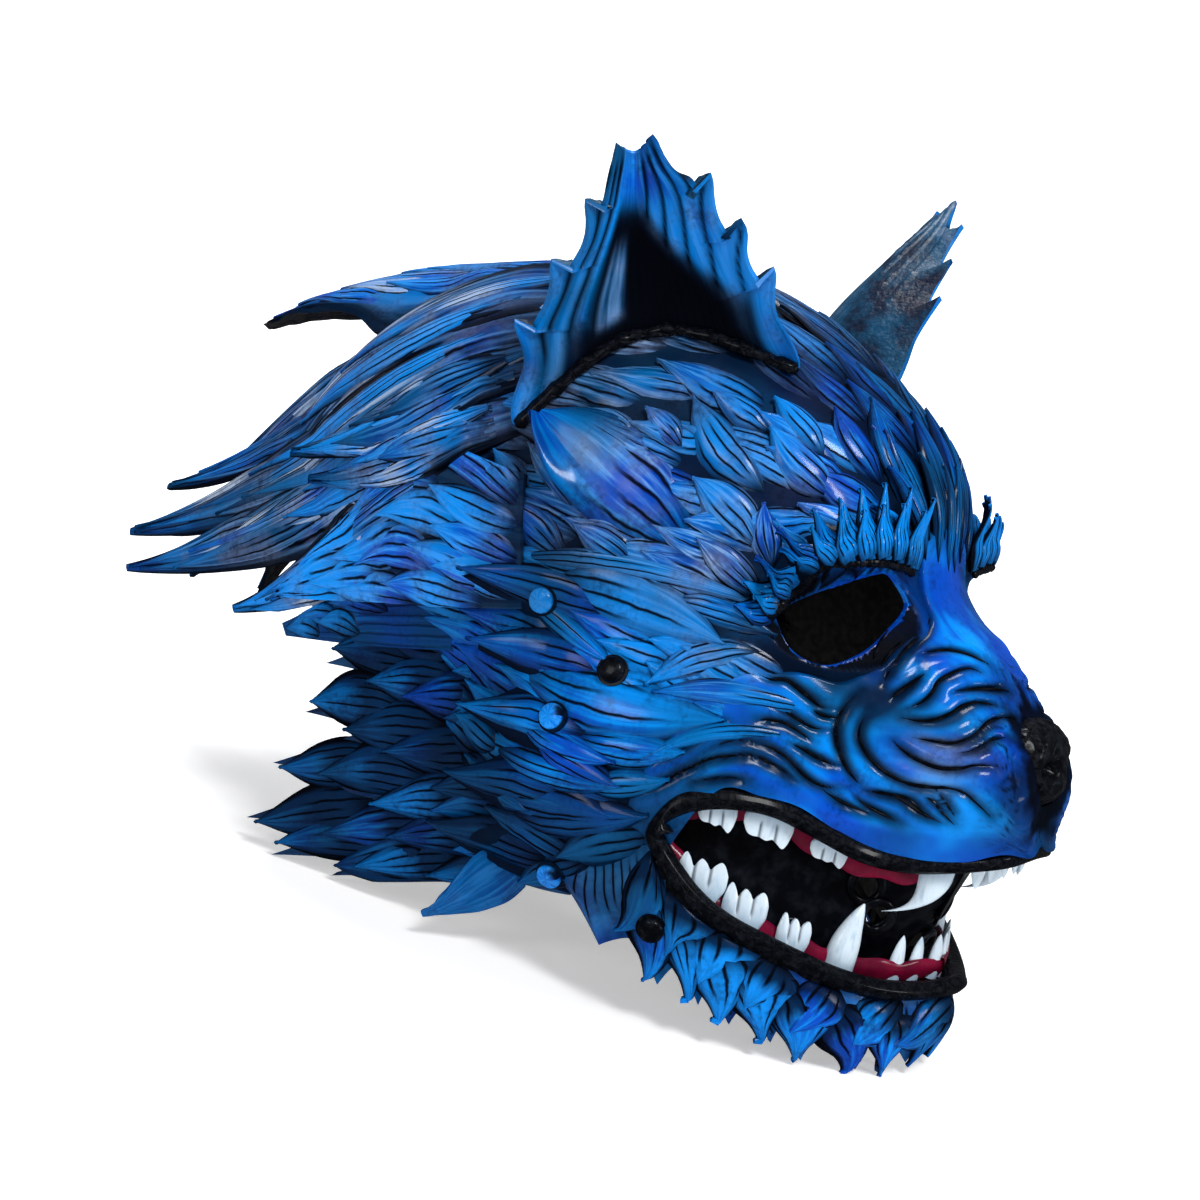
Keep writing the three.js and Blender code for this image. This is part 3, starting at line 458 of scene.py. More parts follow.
def skin(name, points, finish, away=outward, thick=LEATHER, merge=False, inside=None, **notes):
    """A sheet of leather whose outer side is a grid of points, thickened inwards and bare inside"""
    made = laid_grid(name, points, notes)
    n = np.cross(np.gradient(points, axis=0), np.gradient(points, axis=1))
    way = away(points) if callable(away) else away
    if np.sum(n * way) < 0:
        edit(made, TURN_ROUND)
    if merge:
        edit(made, MERGE)
    made.data.materials.append(finish)
    made.data.materials.append(inside or bpy.data.materials.get("bare_inside") or bare_inside())
    apply(made, "SOLIDIFY", thickness=thick / 1000, offset=-1, use_even_offset=False, material_offset=1)
    return smooth(made)


def leaf_bed(name, points, finish, thick=1.0, **notes):
    """Many leaves as one piece: one is modelled, repeated, and each copy laid in its place"""
    n, rows, cols = points.shape[0], points.shape[1] - 1, points.shape[2] - 1
    made, i, j = start_grid(name, rows, cols)
    apply(made, "ARRAY", count=n, relative_offset_displace=(1.5, 0, 0))
    set_points(made, lay_down(points)[:, i, j].reshape(-1, 3))
    chance = np.random.default_rng(len(points)).random(n)
    sheets = {"tint": chance[:, None, None], "shade": 0, "worn": 0, "cut": 0, **notes}
    shape = points.shape[:3]
    note(made, **{key: np.broadcast_to(value, shape)[:, i, j] for key, value in sheets.items()})
    made.data.materials.append(finish)
    apply(made, "SOLIDIFY", thickness=thick / 1000, offset=-1, use_even_offset=False)
    return smooth(made, 60)


def tube(name, centres, a, b, finish, closed=False, sides=14, ripple=0.0, **notes):
    """A rolled edge: rings round centres, with half sizes as vectors a and b"""
    turn = np.linspace(0, 2 * pi, sides + 1)
    size = 1 + ripple * np.cos(turn * 5)
    across, over = (np.cos(turn) * size)[:, None], (np.sin(turn) * size)[:, None]
    points = centres[:, None] + a[:, None] * across + b[:, None] * over
    flat = 0 * points[:1]
    if closed:
        points = np.concatenate([points, points[:1]])
    else:
        points = np.concatenate([centres[:1, None] + flat, points, centres[-1:, None] + flat])
    made = laid_grid(name, points, notes)
    edit(made, MERGE, FACE_OUT)
    made.data.materials.append(finish)
    return smooth(made)


def seam(name, line, size, finish, lumps=9.0):
    """A lumpy sewn edge along a line of points"""
    out = outward(line)
    over = unit(np.cross(np.gradient(line, axis=0), out))
    run = np.cumsum(np.linalg.norm(np.gradient(line, axis=0), axis=-1))
    swell = size * (0.8 + 0.3 * np.abs(np.sin(run * pi / lumps)))
    swell = (swell + 0.25 * size * speckle(line, 3.0, 6))[:, None]
    swell[0] = swell[-1] = size * 0.2
    return tube(name, line, over * swell, out * swell * 0.8, finish, sides=12, ripple=0.08)


def join(name, *parts):
    only(parts[0])
    for part in parts[1:]:
        part.select_set(True)
    bpy.ops.object.join()
    made = bpy.context.object
    made.name = made.data.name = name
    return made


def fit(made, *nodes, slot="blue_leather"):
    """Put a finished piece on the mask, in place of its nodes in the frame"""
    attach(made, "root")
    if nodes:
        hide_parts(*nodes)
    return made


# Materials

class Wire:
    """A socket that takes part in sums: each operator adds a Math node"""

    def __init__(self, finish, socket):
        self.finish = finish
        self.socket = socket

    def __add__(self, other):
        return self.finish.sum("ADD", self, other)

    def __sub__(self, other):
        return self.finish.sum("SUBTRACT", self, other)

    def __rsub__(self, other):
        return self.finish.sum("SUBTRACT", other, self)

    def __mul__(self, other):
        return self.finish.sum("MULTIPLY", self, other)

    __radd__ = __add__
    __rmul__ = __mul__


class Finish:
    """A material in the making"""

    def __init__(self, name, **fixed):
        self.dyes = bpy.context.scene.wolf_dyes
        self.material = bpy.data.materials.new(name)
        self.material.use_nodes = True
        self.nodes = self.material.node_tree.nodes
        self.links = self.material.node_tree.links
        self.shader = self.nodes["Principled BSDF"]
        for key, value in fixed.items():
            self.shader.inputs[key.replace("_", " ")].default_value = value
        self.place = self.node("TexCoord", output="Object")

    def feed(self, socket, value):
        """Give a socket a wire, a value, or the dye of a name"""
        if isinstance(value, str):
            value = tuple(getattr(self.dyes, value))
        if isinstance(value, Wire):
            self.links.new(value.socket, socket)
        elif isinstance(value, tuple) and len(value) == 3 and socket.type == "RGBA":
            socket.default_value = (*value, 1)
        else:
            socket.default_value = value

    def node(self, kind, settings=None, inputs=None, output=0):
        made = self.nodes.new("ShaderNode" + kind)
        for key, value in (settings or {}).items():
            setattr(made, key, value)
        for key, value in (inputs or {}).items():
            self.feed(made.inputs[key], value)
        return Wire(self, made.outputs[output])

    def sum(self, operation, *values):
        return self.node("Math", {"operation": operation}, dict(enumerate(values)))

    def noted(self, name):
        return self.node("Attribute", {"attribute_name": name}, output="Fac")

    def step(self, value, low, high):
        """0 up to low, 1 from high on"""
        settings = {"interpolation_type": "SMOOTHSTEP"}
        return self.node("MapRange", settings, {"Value": value, "From Min": low, "From Max": high})

    def noise(self, scale, detail=2.0, rough=0.5, place=None):
        inputs = {"Vector": place or self.place, "Scale": scale, "Detail": detail, "Roughness": rough}
        return self.node("TexNoise", None, inputs, "Fac")

    def mix(self, a, b, share):
        """Colour a, and colour b by its share"""
        inputs = {"Factor": share, 6: a, 7: b}
        return self.node("Mix", {"data_type": "RGBA"}, inputs, 2)

    def done(self, colour, rough, height, depth):
        bump = self.node("Bump", None, {"Height": height, "Strength": 1.0, "Distance": depth})
        self.feed(self.shader.inputs["Base Color"], colour)
        self.feed(self.shader.inputs["Roughness"], rough)
        self.feed(self.shader.inputs["Normal"], bump)
        return self.material


def bare_inside():
    """The undyed flesh side, blackened by sweat and glue"""
    f = Finish("bare_inside")
    fibres = f.noise(350.0, 4.0, 0.6)
    colour = f.mix("ink", "suede", f.step(fibres + f.noise(24.0) * 0.4, 0.5, 0.95))
    return f.done(colour, 0.75 + fibres * 0.2, fibres, 0.0004)


def tooled_leather(name, strands=7.0, darker=0.0, edges=1.0, lines=1.0, roots=1.0, outline=0.64, rough=0.34):
    """Dyed leather with engraved hair lines that run along each leaf, black in the cuts, rubbed and with painted
    highlights on top, and painted shade at each leaf's root and edges. Strands is how many lines lie side by side,
    and outline where the black edge of a leaf begins."""
    f = Finish(name, Coat_Roughness=0.16, Specular_IOR_Level=0.03)
    uv = f.node("SeparateXYZ", None, {0: f.node("UVMap", {"uv_map": "UVMap"})}, "X")
    flow, across = uv, Wire(f, uv.socket.node.outputs["Y"])
    tint, shade, worn, cut = (f.noted(key) for key in ("tint", "shade", "worn", "cut"))
    # Engraved lines: each lane has one, which begins and ends by chance
    lane = across * strands + f.noise(70.0) * 0.7 + tint * 7.3
    number = f.sum("FLOOR", lane) + f.sum("FLOOR", tint * 97)
    chance = f.node("TexWhiteNoise", {"noise_dimensions": "1D"}, {"W": number})
    off = f.sum("ABSOLUTE", f.sum("FRACT", lane) - 0.5)
    begins = f.step(flow, chance * 0.3 - 0.1, chance * 0.3 + 0.04)
    ends = 1 - f.step(flow, chance * 0.45 + 0.3, chance * 0.45 + 0.5)
    line = (1 - f.step(off, 0.04, 0.15)) * begins * ends * lines
    # Black edges of a leaf, its root blackened as a painted shadow of the leaf that lies over it, and streaks of
    # dye along it
    side = f.sum("ABSOLUTE", across * 2 - 1)
    rim = f.step(side, outline, outline + 0.22) * edges
    root = (1 - f.step(flow, 0.02, 0.24)) * edges * roots
    streaks = f.node("CombineXYZ", None, {"X": flow * 1.6, "Y": across * 9.0, "Z": tint * 31.0})
    streak = f.step(f.noise(1.6, 3.0, place=streaks), 0.40, 0.72)
    # Painted shade in navy: towards a leaf's edges and its root, beside its engraved lines, and where the shade
    # note and darker ask for it; lighter on the raised streaks
    deep = f.step(side, 0.3, 1.0) * edges * 0.75 + (1 - f.step(flow, 0.1, 0.5)) * edges * roots * 0.45
    deep = deep + shade + darker + (1 - f.step(off, 0.08, 0.42)) * lines * 0.12 - streak * 0.12
    # The dyes, from the first coat to what is rubbed off and inked in: navy carries painted shade, and the worn
    # blue, grey and white carry both wear and painted highlights
    colour = f.mix("royal", "azure", f.step(f.noise(26.0, 3.0) + tint * 0.3 + streak * 0.2, 0.5, 0.8))
    colour = f.mix(colour, "teal", f.step(f.noise(17.0) + shade * 0.3, 0.52, 0.8) * 0.8)
    colour = f.mix(colour, "navy", f.node("Clamp", None, {"Value": deep}) * 0.92)
    colour = f.mix(colour, "pale", streak * worn * 0.7)
    rubbed = worn * f.step(f.noise(60.0, 4.0), 0.4, 0.7) * 0.6
    colour = f.mix(colour, "lilac", f.sum("MINIMUM", rubbed, 1.0))
    colour = f.mix(colour, "bleached", f.step(worn + streak * 0.3, 1.0, 1.5) * 0.85)
    grain = f.noise(520.0, 3.0)
    colour = f.mix(colour, "navy", f.step(grain * 0.5 + f.noise(60.0, 5.0, 0.6), 0.72, 1.1) * 0.7)
    ink = f.sum("MAXIMUM", f.sum("MAXIMUM", line, cut), f.sum("MAXIMUM", rim, root * 0.9))
    colour = f.mix(colour, "ink", f.sum("MINIMUM", ink, 1.0) * 0.97)
    rough = rough + grain * 0.14 + ink * 0.15
    height = grain * 0.12 + streak * 0.18 - line * 0.8 - cut * 0.5
    f.feed(f.shader.inputs["Coat Weight"], (1 - f.sum("MINIMUM", ink + deep * 0.3, 1.0)) * 0.34)
    return f.done(colour, rough, height, 0.0009)


def ground_leather(name, strands=70, **more):
    """Tooled leather without outlined leaves, under and between them"""
    return tooled_leather(name, strands, edges=0.0, **more)


def smooth_leather(name):
    """Plain leather dyed grey teal, on the backs of the ears"""
    f = Finish(name, Coat_Weight=0.12, Coat_Roughness=0.25, Specular_IOR_Level=0.3)
    cloud = f.noise(42.0, 5.0, 0.62)
    grain = f.noise(480.0, 3.0)
    colour = f.mix("navy", "teal", f.step(cloud, 0.35, 0.6))
    colour = f.mix(colour, "lilac", f.step(cloud + grain * 0.2, 0.62, 0.85) * 0.45)
    return f.done(colour, 0.4 + grain * 0.15, grain + cloud, 0.0006)


def black_leather(name, size=240.0, depth=0.0006, rough=0.34):
    """Black leather, wrinkled at a size"""
    f = Finish(name, Coat_Weight=0.12, Coat_Roughness=0.14, Specular_IOR_Level=0.06)
    folds = f.noise(size, 4.0, 0.6)
    inputs = {"Vector": f.place, "Scale": size * 0.7}
    creases = f.node("TexVoronoi", {"feature": "DISTANCE_TO_EDGE"}, inputs, "Distance")
    colour = f.mix("ink", "charcoal", f.step(folds, 0.42, 0.75))
    return f.done(colour, rough + folds * 0.16, folds + f.step(creases, 0.0, 0.12) * 0.5, depth)


def gum_finish():
    f = Finish("wet_gum", Coat_Weight=0.25, Coat_Roughness=0.12, Specular_IOR_Level=0.12)
    patch = f.noise(90.0, 3.0)
    colour = f.mix("gum", "gum_deep", f.step(patch, 0.4, 0.7))
    return f.done(colour, 0.22 + patch * 0.12, patch, 0.0006)


def tooth_finish():
    """Painted teeth: white with blue-grey strokes towards the root and in the cuts"""
    f = Finish("painted_tooth", Coat_Weight=0.35, Coat_Roughness=0.12)
    up = f.node("SeparateXYZ", None, {0: f.node("UVMap", {"uv_map": "UVMap"})}, "X")
    drawn_out = f.node("VectorMath", {"operation": "MULTIPLY"}, {0: f.place, 1: (1, 1, 0.25)})
    strokes = f.noise(420.0, 3.0, place=drawn_out)
    colour = f.mix("tooth", "tooth_blue", f.step(strokes, 0.5, 0.8) * 0.6)
    colour = f.mix(colour, "tooth_blue", (1 - f.step(up, 0.05, 0.45)) * 0.6)
    colour = f.mix(colour, "navy", f.noted("cut") * 0.8)
    return f.done(colour, 0.2 + strokes * 0.2, strokes, 0.0003)


# The face

UPPER_EDGE = [
    (11.8, 180), (16.2, 143), (22.7, 135.4), (28.7, 133.8), (35.6, 126.4),
    (44.6, 114.5), (53.3, 109.9), (62.2, 108), (70.7, 109.8), (75.7, 112.1),
]
LOWER_EDGE = [
    (0, -148, -142), (24, -139, -141), (44, -128, -136), (58, -118, -129),
    (70, -107, -121), (80, -95, -112), (85, -86, -103), (87, -78, -92), (87.5, -74.5, -84),
]
CORNER = vec(87.5, -73, -79)
BEARD_EDGE = [
    (0, -138, -164), (16, -131, -170), (24, -127, -168), (43, -112, -163), (54, -104, -155),
    (66, -92, -147), (74, -83, -139), (80, -66, -131), (84, -38, -113),
]
CHEEK_EDGE = [(84, -70, -95), (86, -50, -112), (88, -25, -108)]
NOSE_HOLE = 6.5
FACE_BACK = [
    (0, 73), (0.12, 78), (0.18, 94), (0.22, 106), (0.28, 113), (0.36, 118),
    (0.46, 118), (0.57, 114), (0.8, 108), (1, 103),
]
CHEEK_TUFTS = 5
TUFT_REACH = [(0.5, 8), (0.8, 11), (0.92, 14), (1, 22)]
EYE_AT = vec(42, -122, -7)
EYE_WAY = unit(vec(0.55, -0.83, 0))
EYE_ACROSS = np.cross(EYE_WAY, (0, 0, 1))
EYE_EDGE = [(-24, 3), (4, 15), (15, 15.5), (24, 5.5), (15, -4), (4, -12), (-8, -15.5), (-18, -11)]


def angles_of(point):
    d = unit(np.asarray(point, float) - SIGHT)
    return np.degrees(np.arccos(d @ NOSE_WAY)), np.degrees(np.arctan2(np.abs(d[..., 0]), d @ OVER_NOSE))


FACE_SIDE = [(NOSE_HOLE, 180), *UPPER_EDGE[:-2], (74.5, 124), *(angles_of(p) for p in CHEEK_EDGE)]
UPPER_LIP = through([on_face(vec(psi), vec(phi), 1.3)[0] for psi, phi in UPPER_EDGE])
LOWER_LIP = through(LOWER_EDGE)


def tooth_wave(t, lean=2 / 3):
    """A row of points that each lean to one side, 0 in a valley and 1 at a tip"""
    f = t - np.floor(t)
    return np.where(f < lean + 1e-3, np.minimum(1, f / lean) ** 1.3, (np.maximum(1 - f, 0) / (1 - lean)) ** 1.3)


def face_places(u, v):
    """Angles from the nose of places on the face, from the nose back and from side to side"""
    side = np.abs(v)
    cut = between(side, 0.5, 0.56) * tooth_wave((side - 0.5) * CHEEK_TUFTS / 0.5)
    psi = NOSE_HOLE + (along(FACE_BACK, side) + cut * along(TUFT_REACH, side) - NOSE_HOLE) * u
    phi = v * along(FACE_SIDE, NOSE_HOLE + (along(FACE_BACK, 1) - NOSE_HOLE) * u)
    return psi, phi, 8 * cut * between(u, 0.8, 1) ** 2


# Grooves of the muzzle and the cheek beside it, as angles from the nose and round it
GROOVES = [
    [(35, 45.8), (35, 50.8), (34.7, 56), (34.4, 58.5)],
    [(31.6, 46.5), (32.3, 54.1), (32.7, 60.3)],
    [(30, 27.7), (29, 35.8), (29.6, 44.2), (30.3, 51.6), (30.7, 59.1), (30.8, 66.7)],
    [(25.1, 53.8), (26.2, 61), (27.7, 67.7), (28.6, 71)],
    [(27.8, 48.2), (25.9, 41.8), (23.9, 35.7), (21.6, 30.3), (19.7, 26.5), (17.6, 22.4)],
    [(17.8, 34), (19.2, 35.9), (20.7, 41.9), (21.8, 48.6), (22.7, 54.8), (22.9, 61.6), (23.9, 68.4), (25.6, 73.3)],
    [(20.7, 57.8), (18.3, 50), (15.5, 39.6), (12.4, 23.2)],
    [(12.9, 47.2), (14.8, 50.6), (16.9, 55.8), (18.7, 63), (20, 69.4), (21.9, 75), (23.9, 77.3), (26.2, 78.1)],
    [(9.4, 42.7), (12.7, 55.4), (15.1, 65.9), (16.8, 74.6), (18.5, 80.3), (20.3, 83.9), (22.5, 84.9), (24.3, 85.4)],
    [(12.6, 70.3), (14.7, 74.9), (16.9, 81.5), (18.8, 86.3), (20.6, 88.5)],
    [(26.9, 88.8), (25.4, 92.2), (23.8, 94.7), (21.8, 95.8), (19.7, 94), (17.8, 91.2), (15.4, 90.2)],
    [(34.5, 73.1), (36.1, 78.9), (37.1, 83.9), (37.4, 89.9), (36.5, 96), (35.1, 101.4), (33.7, 105.4),
     (32.4, 108.2)],
    [(31.6, 79.4), (32.6, 84.9), (32.6, 90.4), (31.3, 95.4), (29.4, 100.1), (27.3, 103.6), (25.6, 105),
     (23.5, 104.6), (21.4, 103.5), (20, 104.4), (18.6, 109), (17.1, 116.2)],
    [(33.1, 108.2), (31.2, 110.2), (28.3, 110.4), (26.4, 110.4), (25.3, 112.7), (24.5, 116.9)],
    [(24.6, 108.4), (23.4, 109.9), (22.8, 113.7), (21.6, 119.4)],
    [(34.7, 110.3), (32.5, 114.6), (30, 117.9), (28.2, 120.2)],
    [(57.5, 77.9), (54.4, 78.3), (50.7, 77.2), (47.5, 78.5), (44.3, 80.5), (41.3, 82.4), (37.8, 81.6)],
    [(56.4, 82.8), (53.2, 84.2), (49, 86.6), (45.1, 88.7), (42.2, 89.9), (38.3, 89.4)],
    [(55.1, 90.5), (52.4, 89.9), (48.6, 90.2), (44.7, 92.4), (41.5, 94.9)],
    [(47.7, 95.7), (44.5, 97), (40.9, 99.4), (37.9, 101), (35.5, 101.4)],
    [(71.5, 104.4), (65.6, 99.7), (59.2, 96.6), (51.7, 97.6), (47.9, 100), (45.2, 103.3), (42.7, 106.3),
     (39.8, 108.5), (37, 108.9), (33.8, 108.3)],
    [(66, 104), (56.9, 99.7), (51.4, 101.9), (48.7, 103.4), (46.5, 105.7), (44, 107.2)],
    [(43.3, 84.2), (40.5, 85.2), (37.5, 84.8)],
    [(84.3, 110.7), (76.3, 108.7), (70.6, 105.2), (62.9, 101.1), (53.9, 100.3), (47.9, 104.1), (43.9, 106.8)],
    [(85.6, 104.3), (78, 102.8), (70.6, 99.5), (62.4, 92.4)],
    [(69.5, 107.5), (64.9, 106.4), (60.2, 105.7), (56.1, 106.2)],
    [(28.6, 109.2), (26.6, 112.2), (24.8, 115.7), (22.6, 119.2)],
    [(22.9, 103.9), (22.1, 109.4), (21.3, 116)],
    [(40.8, 108.7), (35.2, 115.2), (30.6, 119.2)],
]


def groove_lines(finish):
    """Black lines laid in the grooves on both sides of the face"""
    t, w = np.linspace(0, 1, 49), np.linspace(-1, 1, 3)
    across = (0.62 * np.sin(pi * np.clip(t, 0.03, 0.97)) ** 0.6)[:, None] * w
    strips = []
    for line in GROOVES:
        psi, phi, _ = flat_curve(line)(t).T
        p = on_face(psi, phi, 2.5)
        out = outward(p)
        over = unit(np.cross(out, np.gradient(p, axis=0)))
        camber = out[:, None] * (0.5 * (1 - w * w))[:, None]
        strips.append(p[:, None] + over[:, None] * across[..., None] + camber)
    return leaf_bed("muzzle_lines", both_sides(np.array(strips)), finish, 0.5)


def grooves_at(p):
    """How deep each place lies in a groove, how dim it is beside one, and how high on the swell along it"""
    flat = mirrored(p).reshape(-1, 3)
    looks = np.zeros((3, len(flat)))
    for line in GROOVES:
        psi, phi, _ = flat_curve(line)(np.linspace(0, 1, 110)).T
        spots = on_face(psi, phi, 2.0)
        low, high = spots.min(axis=0) - 9, spots.max(axis=0) + 9
        some = np.flatnonzero(((flat > low) & (flat < high)).all(axis=1))
        gap = np.linalg.norm(flat[some][:, None] - spots, axis=-1)
        fade = np.sin(pi * np.clip(gap.argmin(axis=1) / 109, 0.03, 0.97)) ** 0.5
        gap = gap.min(axis=1)
        shape = np.exp(-((np.stack([gap, gap, gap - 3.6]) / vec(1.0, 2.8, 2.6)[:, None]) ** 2))
        looks[:, some] = np.maximum(looks[:, some], fade * shape)
    return looks.reshape(3, *p.shape[:-1])


def eye_distance(p):
    """How far points are from the middle of the eye opening, in half sizes of it"""
    d = mirrored(p) - EYE_AT
    return np.hypot((d @ EYE_ACROSS) / 25, d[..., 2] / 16)


# Spots of the face: how much darker, or how much more wear and painted highlight, they get; their angles from the
# nose and round it; their sizes. The dark ones are mostly painted shade in the creases of the snout below the eye,
# and the others take in a painted highlight on the crown.
DARK_SPOTS = [
    (0.8, 30.7, 74.6, 4, 7), (0.7, 41, 74, 6, 8), (0.45, 20, 74, 4, 9), (0.4, 34, 86, 4, 14),
    (-0.3, 24, 34, 7, 12), (-0.3, 23, 97, 6, 12),
]
WEAR_AND_HIGHLIGHT_SPOTS = [
    (0.9, 78, 58, 12, 12), (0.8, 66, 78, 9, 7), (0.7, 98, 52, 12, 10), (1.6, 112, 14, 20, 26),
    (0.8, 21.5, 87, 4, 6), (0.7, 23, 99, 3.5, 6), (0.6, 70, 40, 10, 12),
]


def with_spots(value, spots, psi, phi):
    for much, a, b, long, wide in spots:
        value = value + much * np.exp(-(((psi - a) / long) ** 2) - ((phi - b) / wide) ** 2)
    return value


def face_look(p, psi, phi):
    """How dark the face is in each place, partly painted shade round the eye and in the snout's creases, and how
    much wear it has, with a painted highlight on the crown
    """
    phi = np.abs(phi)
    shade = 0.1 + 0.45 * between(phi, 100, 122) * between(psi, 60, 80)
    shade = shade + 0.6 * np.exp(-((eye_distance(p) - 1) * 3) ** 2)
    shade = shade + 0.5 * (1 - between(phi, 8, 30)) * between(psi, 38, 52)
    shade = with_spots(shade, DARK_SPOTS, psi, phi) + 0.25 * between(psi, 96, 112) * between(phi, 40, 60)
    return np.clip(shade, 0, 1), np.clip(with_spots(0, WEAR_AND_HIGHLIGHT_SPOTS, psi, phi), 0, 1.5)


def cut_eyes(made):
    """Cut the two eye openings through the leather"""
    places = 48
    loop = flat_curve((*EYE_EDGE, EYE_EDGE[0]))(np.arange(places) / places)
    for side in (1, -1):
        cutter = primitive("eye_cutter", bpy.ops.mesh.primitive_circle_add, vertices=places, fill_type="NGON")
        edit(cutter, (bpy.ops.mesh.extrude_region_move, {"TRANSFORM_OT_translate": {"value": (0, 0, 1)}}))
        co = corners(cutter)
        turn = np.rint((np.arctan2(co[:, 1], co[:, 0]) / (2 * pi)) % 1 * places).astype(int) % places
        p = EYE_AT + loop[turn, :1] * EYE_ACROSS + loop[turn, 1:2] * vec(0, 0, 1)
        p = p + EYE_WAY * (60 * co[:, 2:] - 30)
        set_points(cutter, lay_down(p * (side, 1, 1)))
        edit(cutter, FACE_OUT)
        apply(made, "BOOLEAN", object=cutter, operation="DIFFERENCE", solver="EXACT")
        bpy.data.objects.remove(cutter)


def face_shell(finish):
    """The moulded face under its tooling"""
    u, v = grid(121, 171, -1)
    psi, phi, lift = face_places(u**1.1, v)
    first = on_face(psi, phi, 2.0)
    rim = 1.6 * np.exp(-(((eye_distance(first) - 1.12) * 8) ** 2))
    n = np.sum(np.cross(np.gradient(first, axis=0), np.gradient(first, axis=1)) * outward(first), axis=-1)
    turned_over = n * np.sign(n.sum()) < 0
    by_lips = between(np.abs(v), 0.88, 1) * between(-psi, -78, -72)
    points = on_face(psi, phi, 1.7 + lift + rim - 2.8 * turned_over - 1.3 * by_lips)
    shade, worn = face_look(points, psi, phi)
    from_eye = eye_distance(first)
    by_eye = np.exp(-(((from_eye - 1) * 2.0) ** 2)) * between(points[..., 2] - EYE_AT[2], -14, -2)
    at_edge = between(-from_eye, -1.1, -1.04)
    # Away from the eye the shell only shows between the leaves: its navy and black there are painted shade in the
    # gaps, which also read as the leaves' outlines
    return skin(
        "face_leather", points, finish, thick=2.2, merge=True, tint=0.1,
        shade=np.clip(shade + 0.7 * (1 - by_eye), 0, 1), worn=worn * 0.3,
        cut=np.maximum(0.66 - 0.6 * by_eye, at_edge),
    )


MUZZLE_BACK = [
    (0, 47), (0.14, 44), (0.19, 32), (0.3, 31), (0.43, 33), (0.53, 37), (0.6, 41), (0.66, 50), (0.72, 60),
    (0.8, 78), (0.9, 84), (1, 84),
]


def muzzle_shell(finish):
    """The snout, modelled in long folds that run back from the nose"""
    u, v = grid(131, 251, -1)
    psi = NOSE_HOLE + (along(MUZZLE_BACK, np.abs(v)) - NOSE_HOLE) * u
    phi = v * along(FACE_SIDE, psi)
    first = on_face(psi, phi, 2.0)
    groove, dim, swell = grooves_at(first)
    crinkle = 1 - between(psi, 13, 21)
    wrinkle = np.abs(speckle(first, 4, 2))
    ripple = 0.35 * speckle(first, 11, 1) - 0.9 * wrinkle * crinkle
    lip = np.exp(-(((np.abs(phi) - along(FACE_SIDE, psi)) / 5) ** 2)) * between(psi, 8, 14)
    edge = between(u, 0.93, 1)
    level = 3.2 + ripple + 0.7 * swell - 1.5 * groove + 0.7 * lip - 3.0 * edge
    points = on_face(psi, phi, level)
    shade, worn = face_look(points, psi, phi)
    by_nose = 1 - between(psi + 2.5 * speckle(first, 6, 3), 9.5, 13)
    cracks = between(-wrinkle, -0.14, 0) * crinkle * between(speckle(first, 14, 8), -0.2, 0.3)
    cut = np.maximum(np.maximum(0.8 * groove, by_nose), cracks)
    blue = speckle(first, 17, 9)
    # Painted shade: darker beside the grooves and where the sheet's edge sinks under the leaves, lighter on the
    # swells between grooves; darker too by the nose and by a random speckle
    shade = np.clip(shade + 0.85 * dim + 0.5 * edge - 0.25 * swell + 0.3 * crinkle + 0.35 * blue + 0.06, 0, 1)
    return skin(
        "muzzle_leather", points, finish, thick=0.8, merge=True, tint=0.1, shade=shade, worn=worn, cut=cut,
    )


# Leaves of the near side of the face, placed one by one: root, tip, half width, bow
BIG_LEAVES = [
    (57.9, 71.4, 82.5, 87.7, 6.3, 0.08), (38.5, 84.7, 80.5, 89.0, 5.5, 0.05),
    (113.2, 71.1, 67.1, 73.1, 10.6, -0.05), (117.1, 73.2, 91.7, 84.9, 5.2, 0.03),
    (117.9, 90.4, 62.7, 91.8, 12.9, 0.05), (104.2, 103.4, 81.8, 108.9, 6.3, 0.05),
    (110.7, 116.9, 82.1, 114.9, 8.7, -0.02), (72.6, 118.8, 93.8, 124.7, 8.9, 0.05),
    (123.5, 71.3, 61.7, 61.0, 4.5, -0.06), (84.1, 66.5, 56.3, 66.1, 5.2, -0.04),
    (92.0, 62.8, 104.7, 59.9, 7.6, 0.03), (62.7, 58.8, 81.0, 53.8, 6.9, 0.05),
    (72.4, 40.6, 90.8, 33.3, 8.8, -0.08), (77.0, 31.4, 88.2, 31.2, 5.9, 0.06),
    (60.3, 33.2, 77.2, 31.4, 8.7, -0.06), (66.6, 29.1, 79.5, 26.4, 6.5, 0.05),
    (56.5, 23.1, 71.1, 20.6, 7.1, -0.05), (49.5, 19.8, 68.9, 12.1, 5.4, -0.05),
    (42.5, 1.3, 64.5, 3.5, 5.5, -0.03), (68.3, 49.3, 85.3, 44.9, 9.5, 0.06),
    (63.9, 51.4, 71.3, 42.9, 6.3, -0.05), (104.6, 57.7, 114.0, 49.4, 6.5, 0.05),
    (113.1, 58.0, 119.3, 51.8, 6.0, 0.0), (106.7, 65.8, 118.3, 60.0, 7.7, 0.05),
    (96.9, 43.1, 105.5, 41.7, 5.6, 0.05), (89.1, 40.8, 96.9, 38.2, 5.6, 0.05),
    (56.9, 50.7, 68.0, 44.6, 5.2, 0.05), (114.1, 108.1, 81.5, 108.9, 6.5, 0.03),
    (121.0, 113.8, 100.0, 117.0, 7.0, 0.02), (106.6, 119.0, 76.0, 114.1, 8.0, 0.02),
    (110.0, 101.0, 84.0, 104.5, 6.5, 0.04), (95.0, 101.5, 70.0, 100.5, 7.5, 0.04),
    (91.0, 110.0, 72.5, 106.5, 5.5, 0.03), (109.6, 109.1, 123.9, 106.0, 7.3, 0.0),
    (87.5, 124.5, 102.8, 133.4, 7.3, 0.0), (41.3, 94.7, 79.3, 103.5, 4.0, 0.12),
]
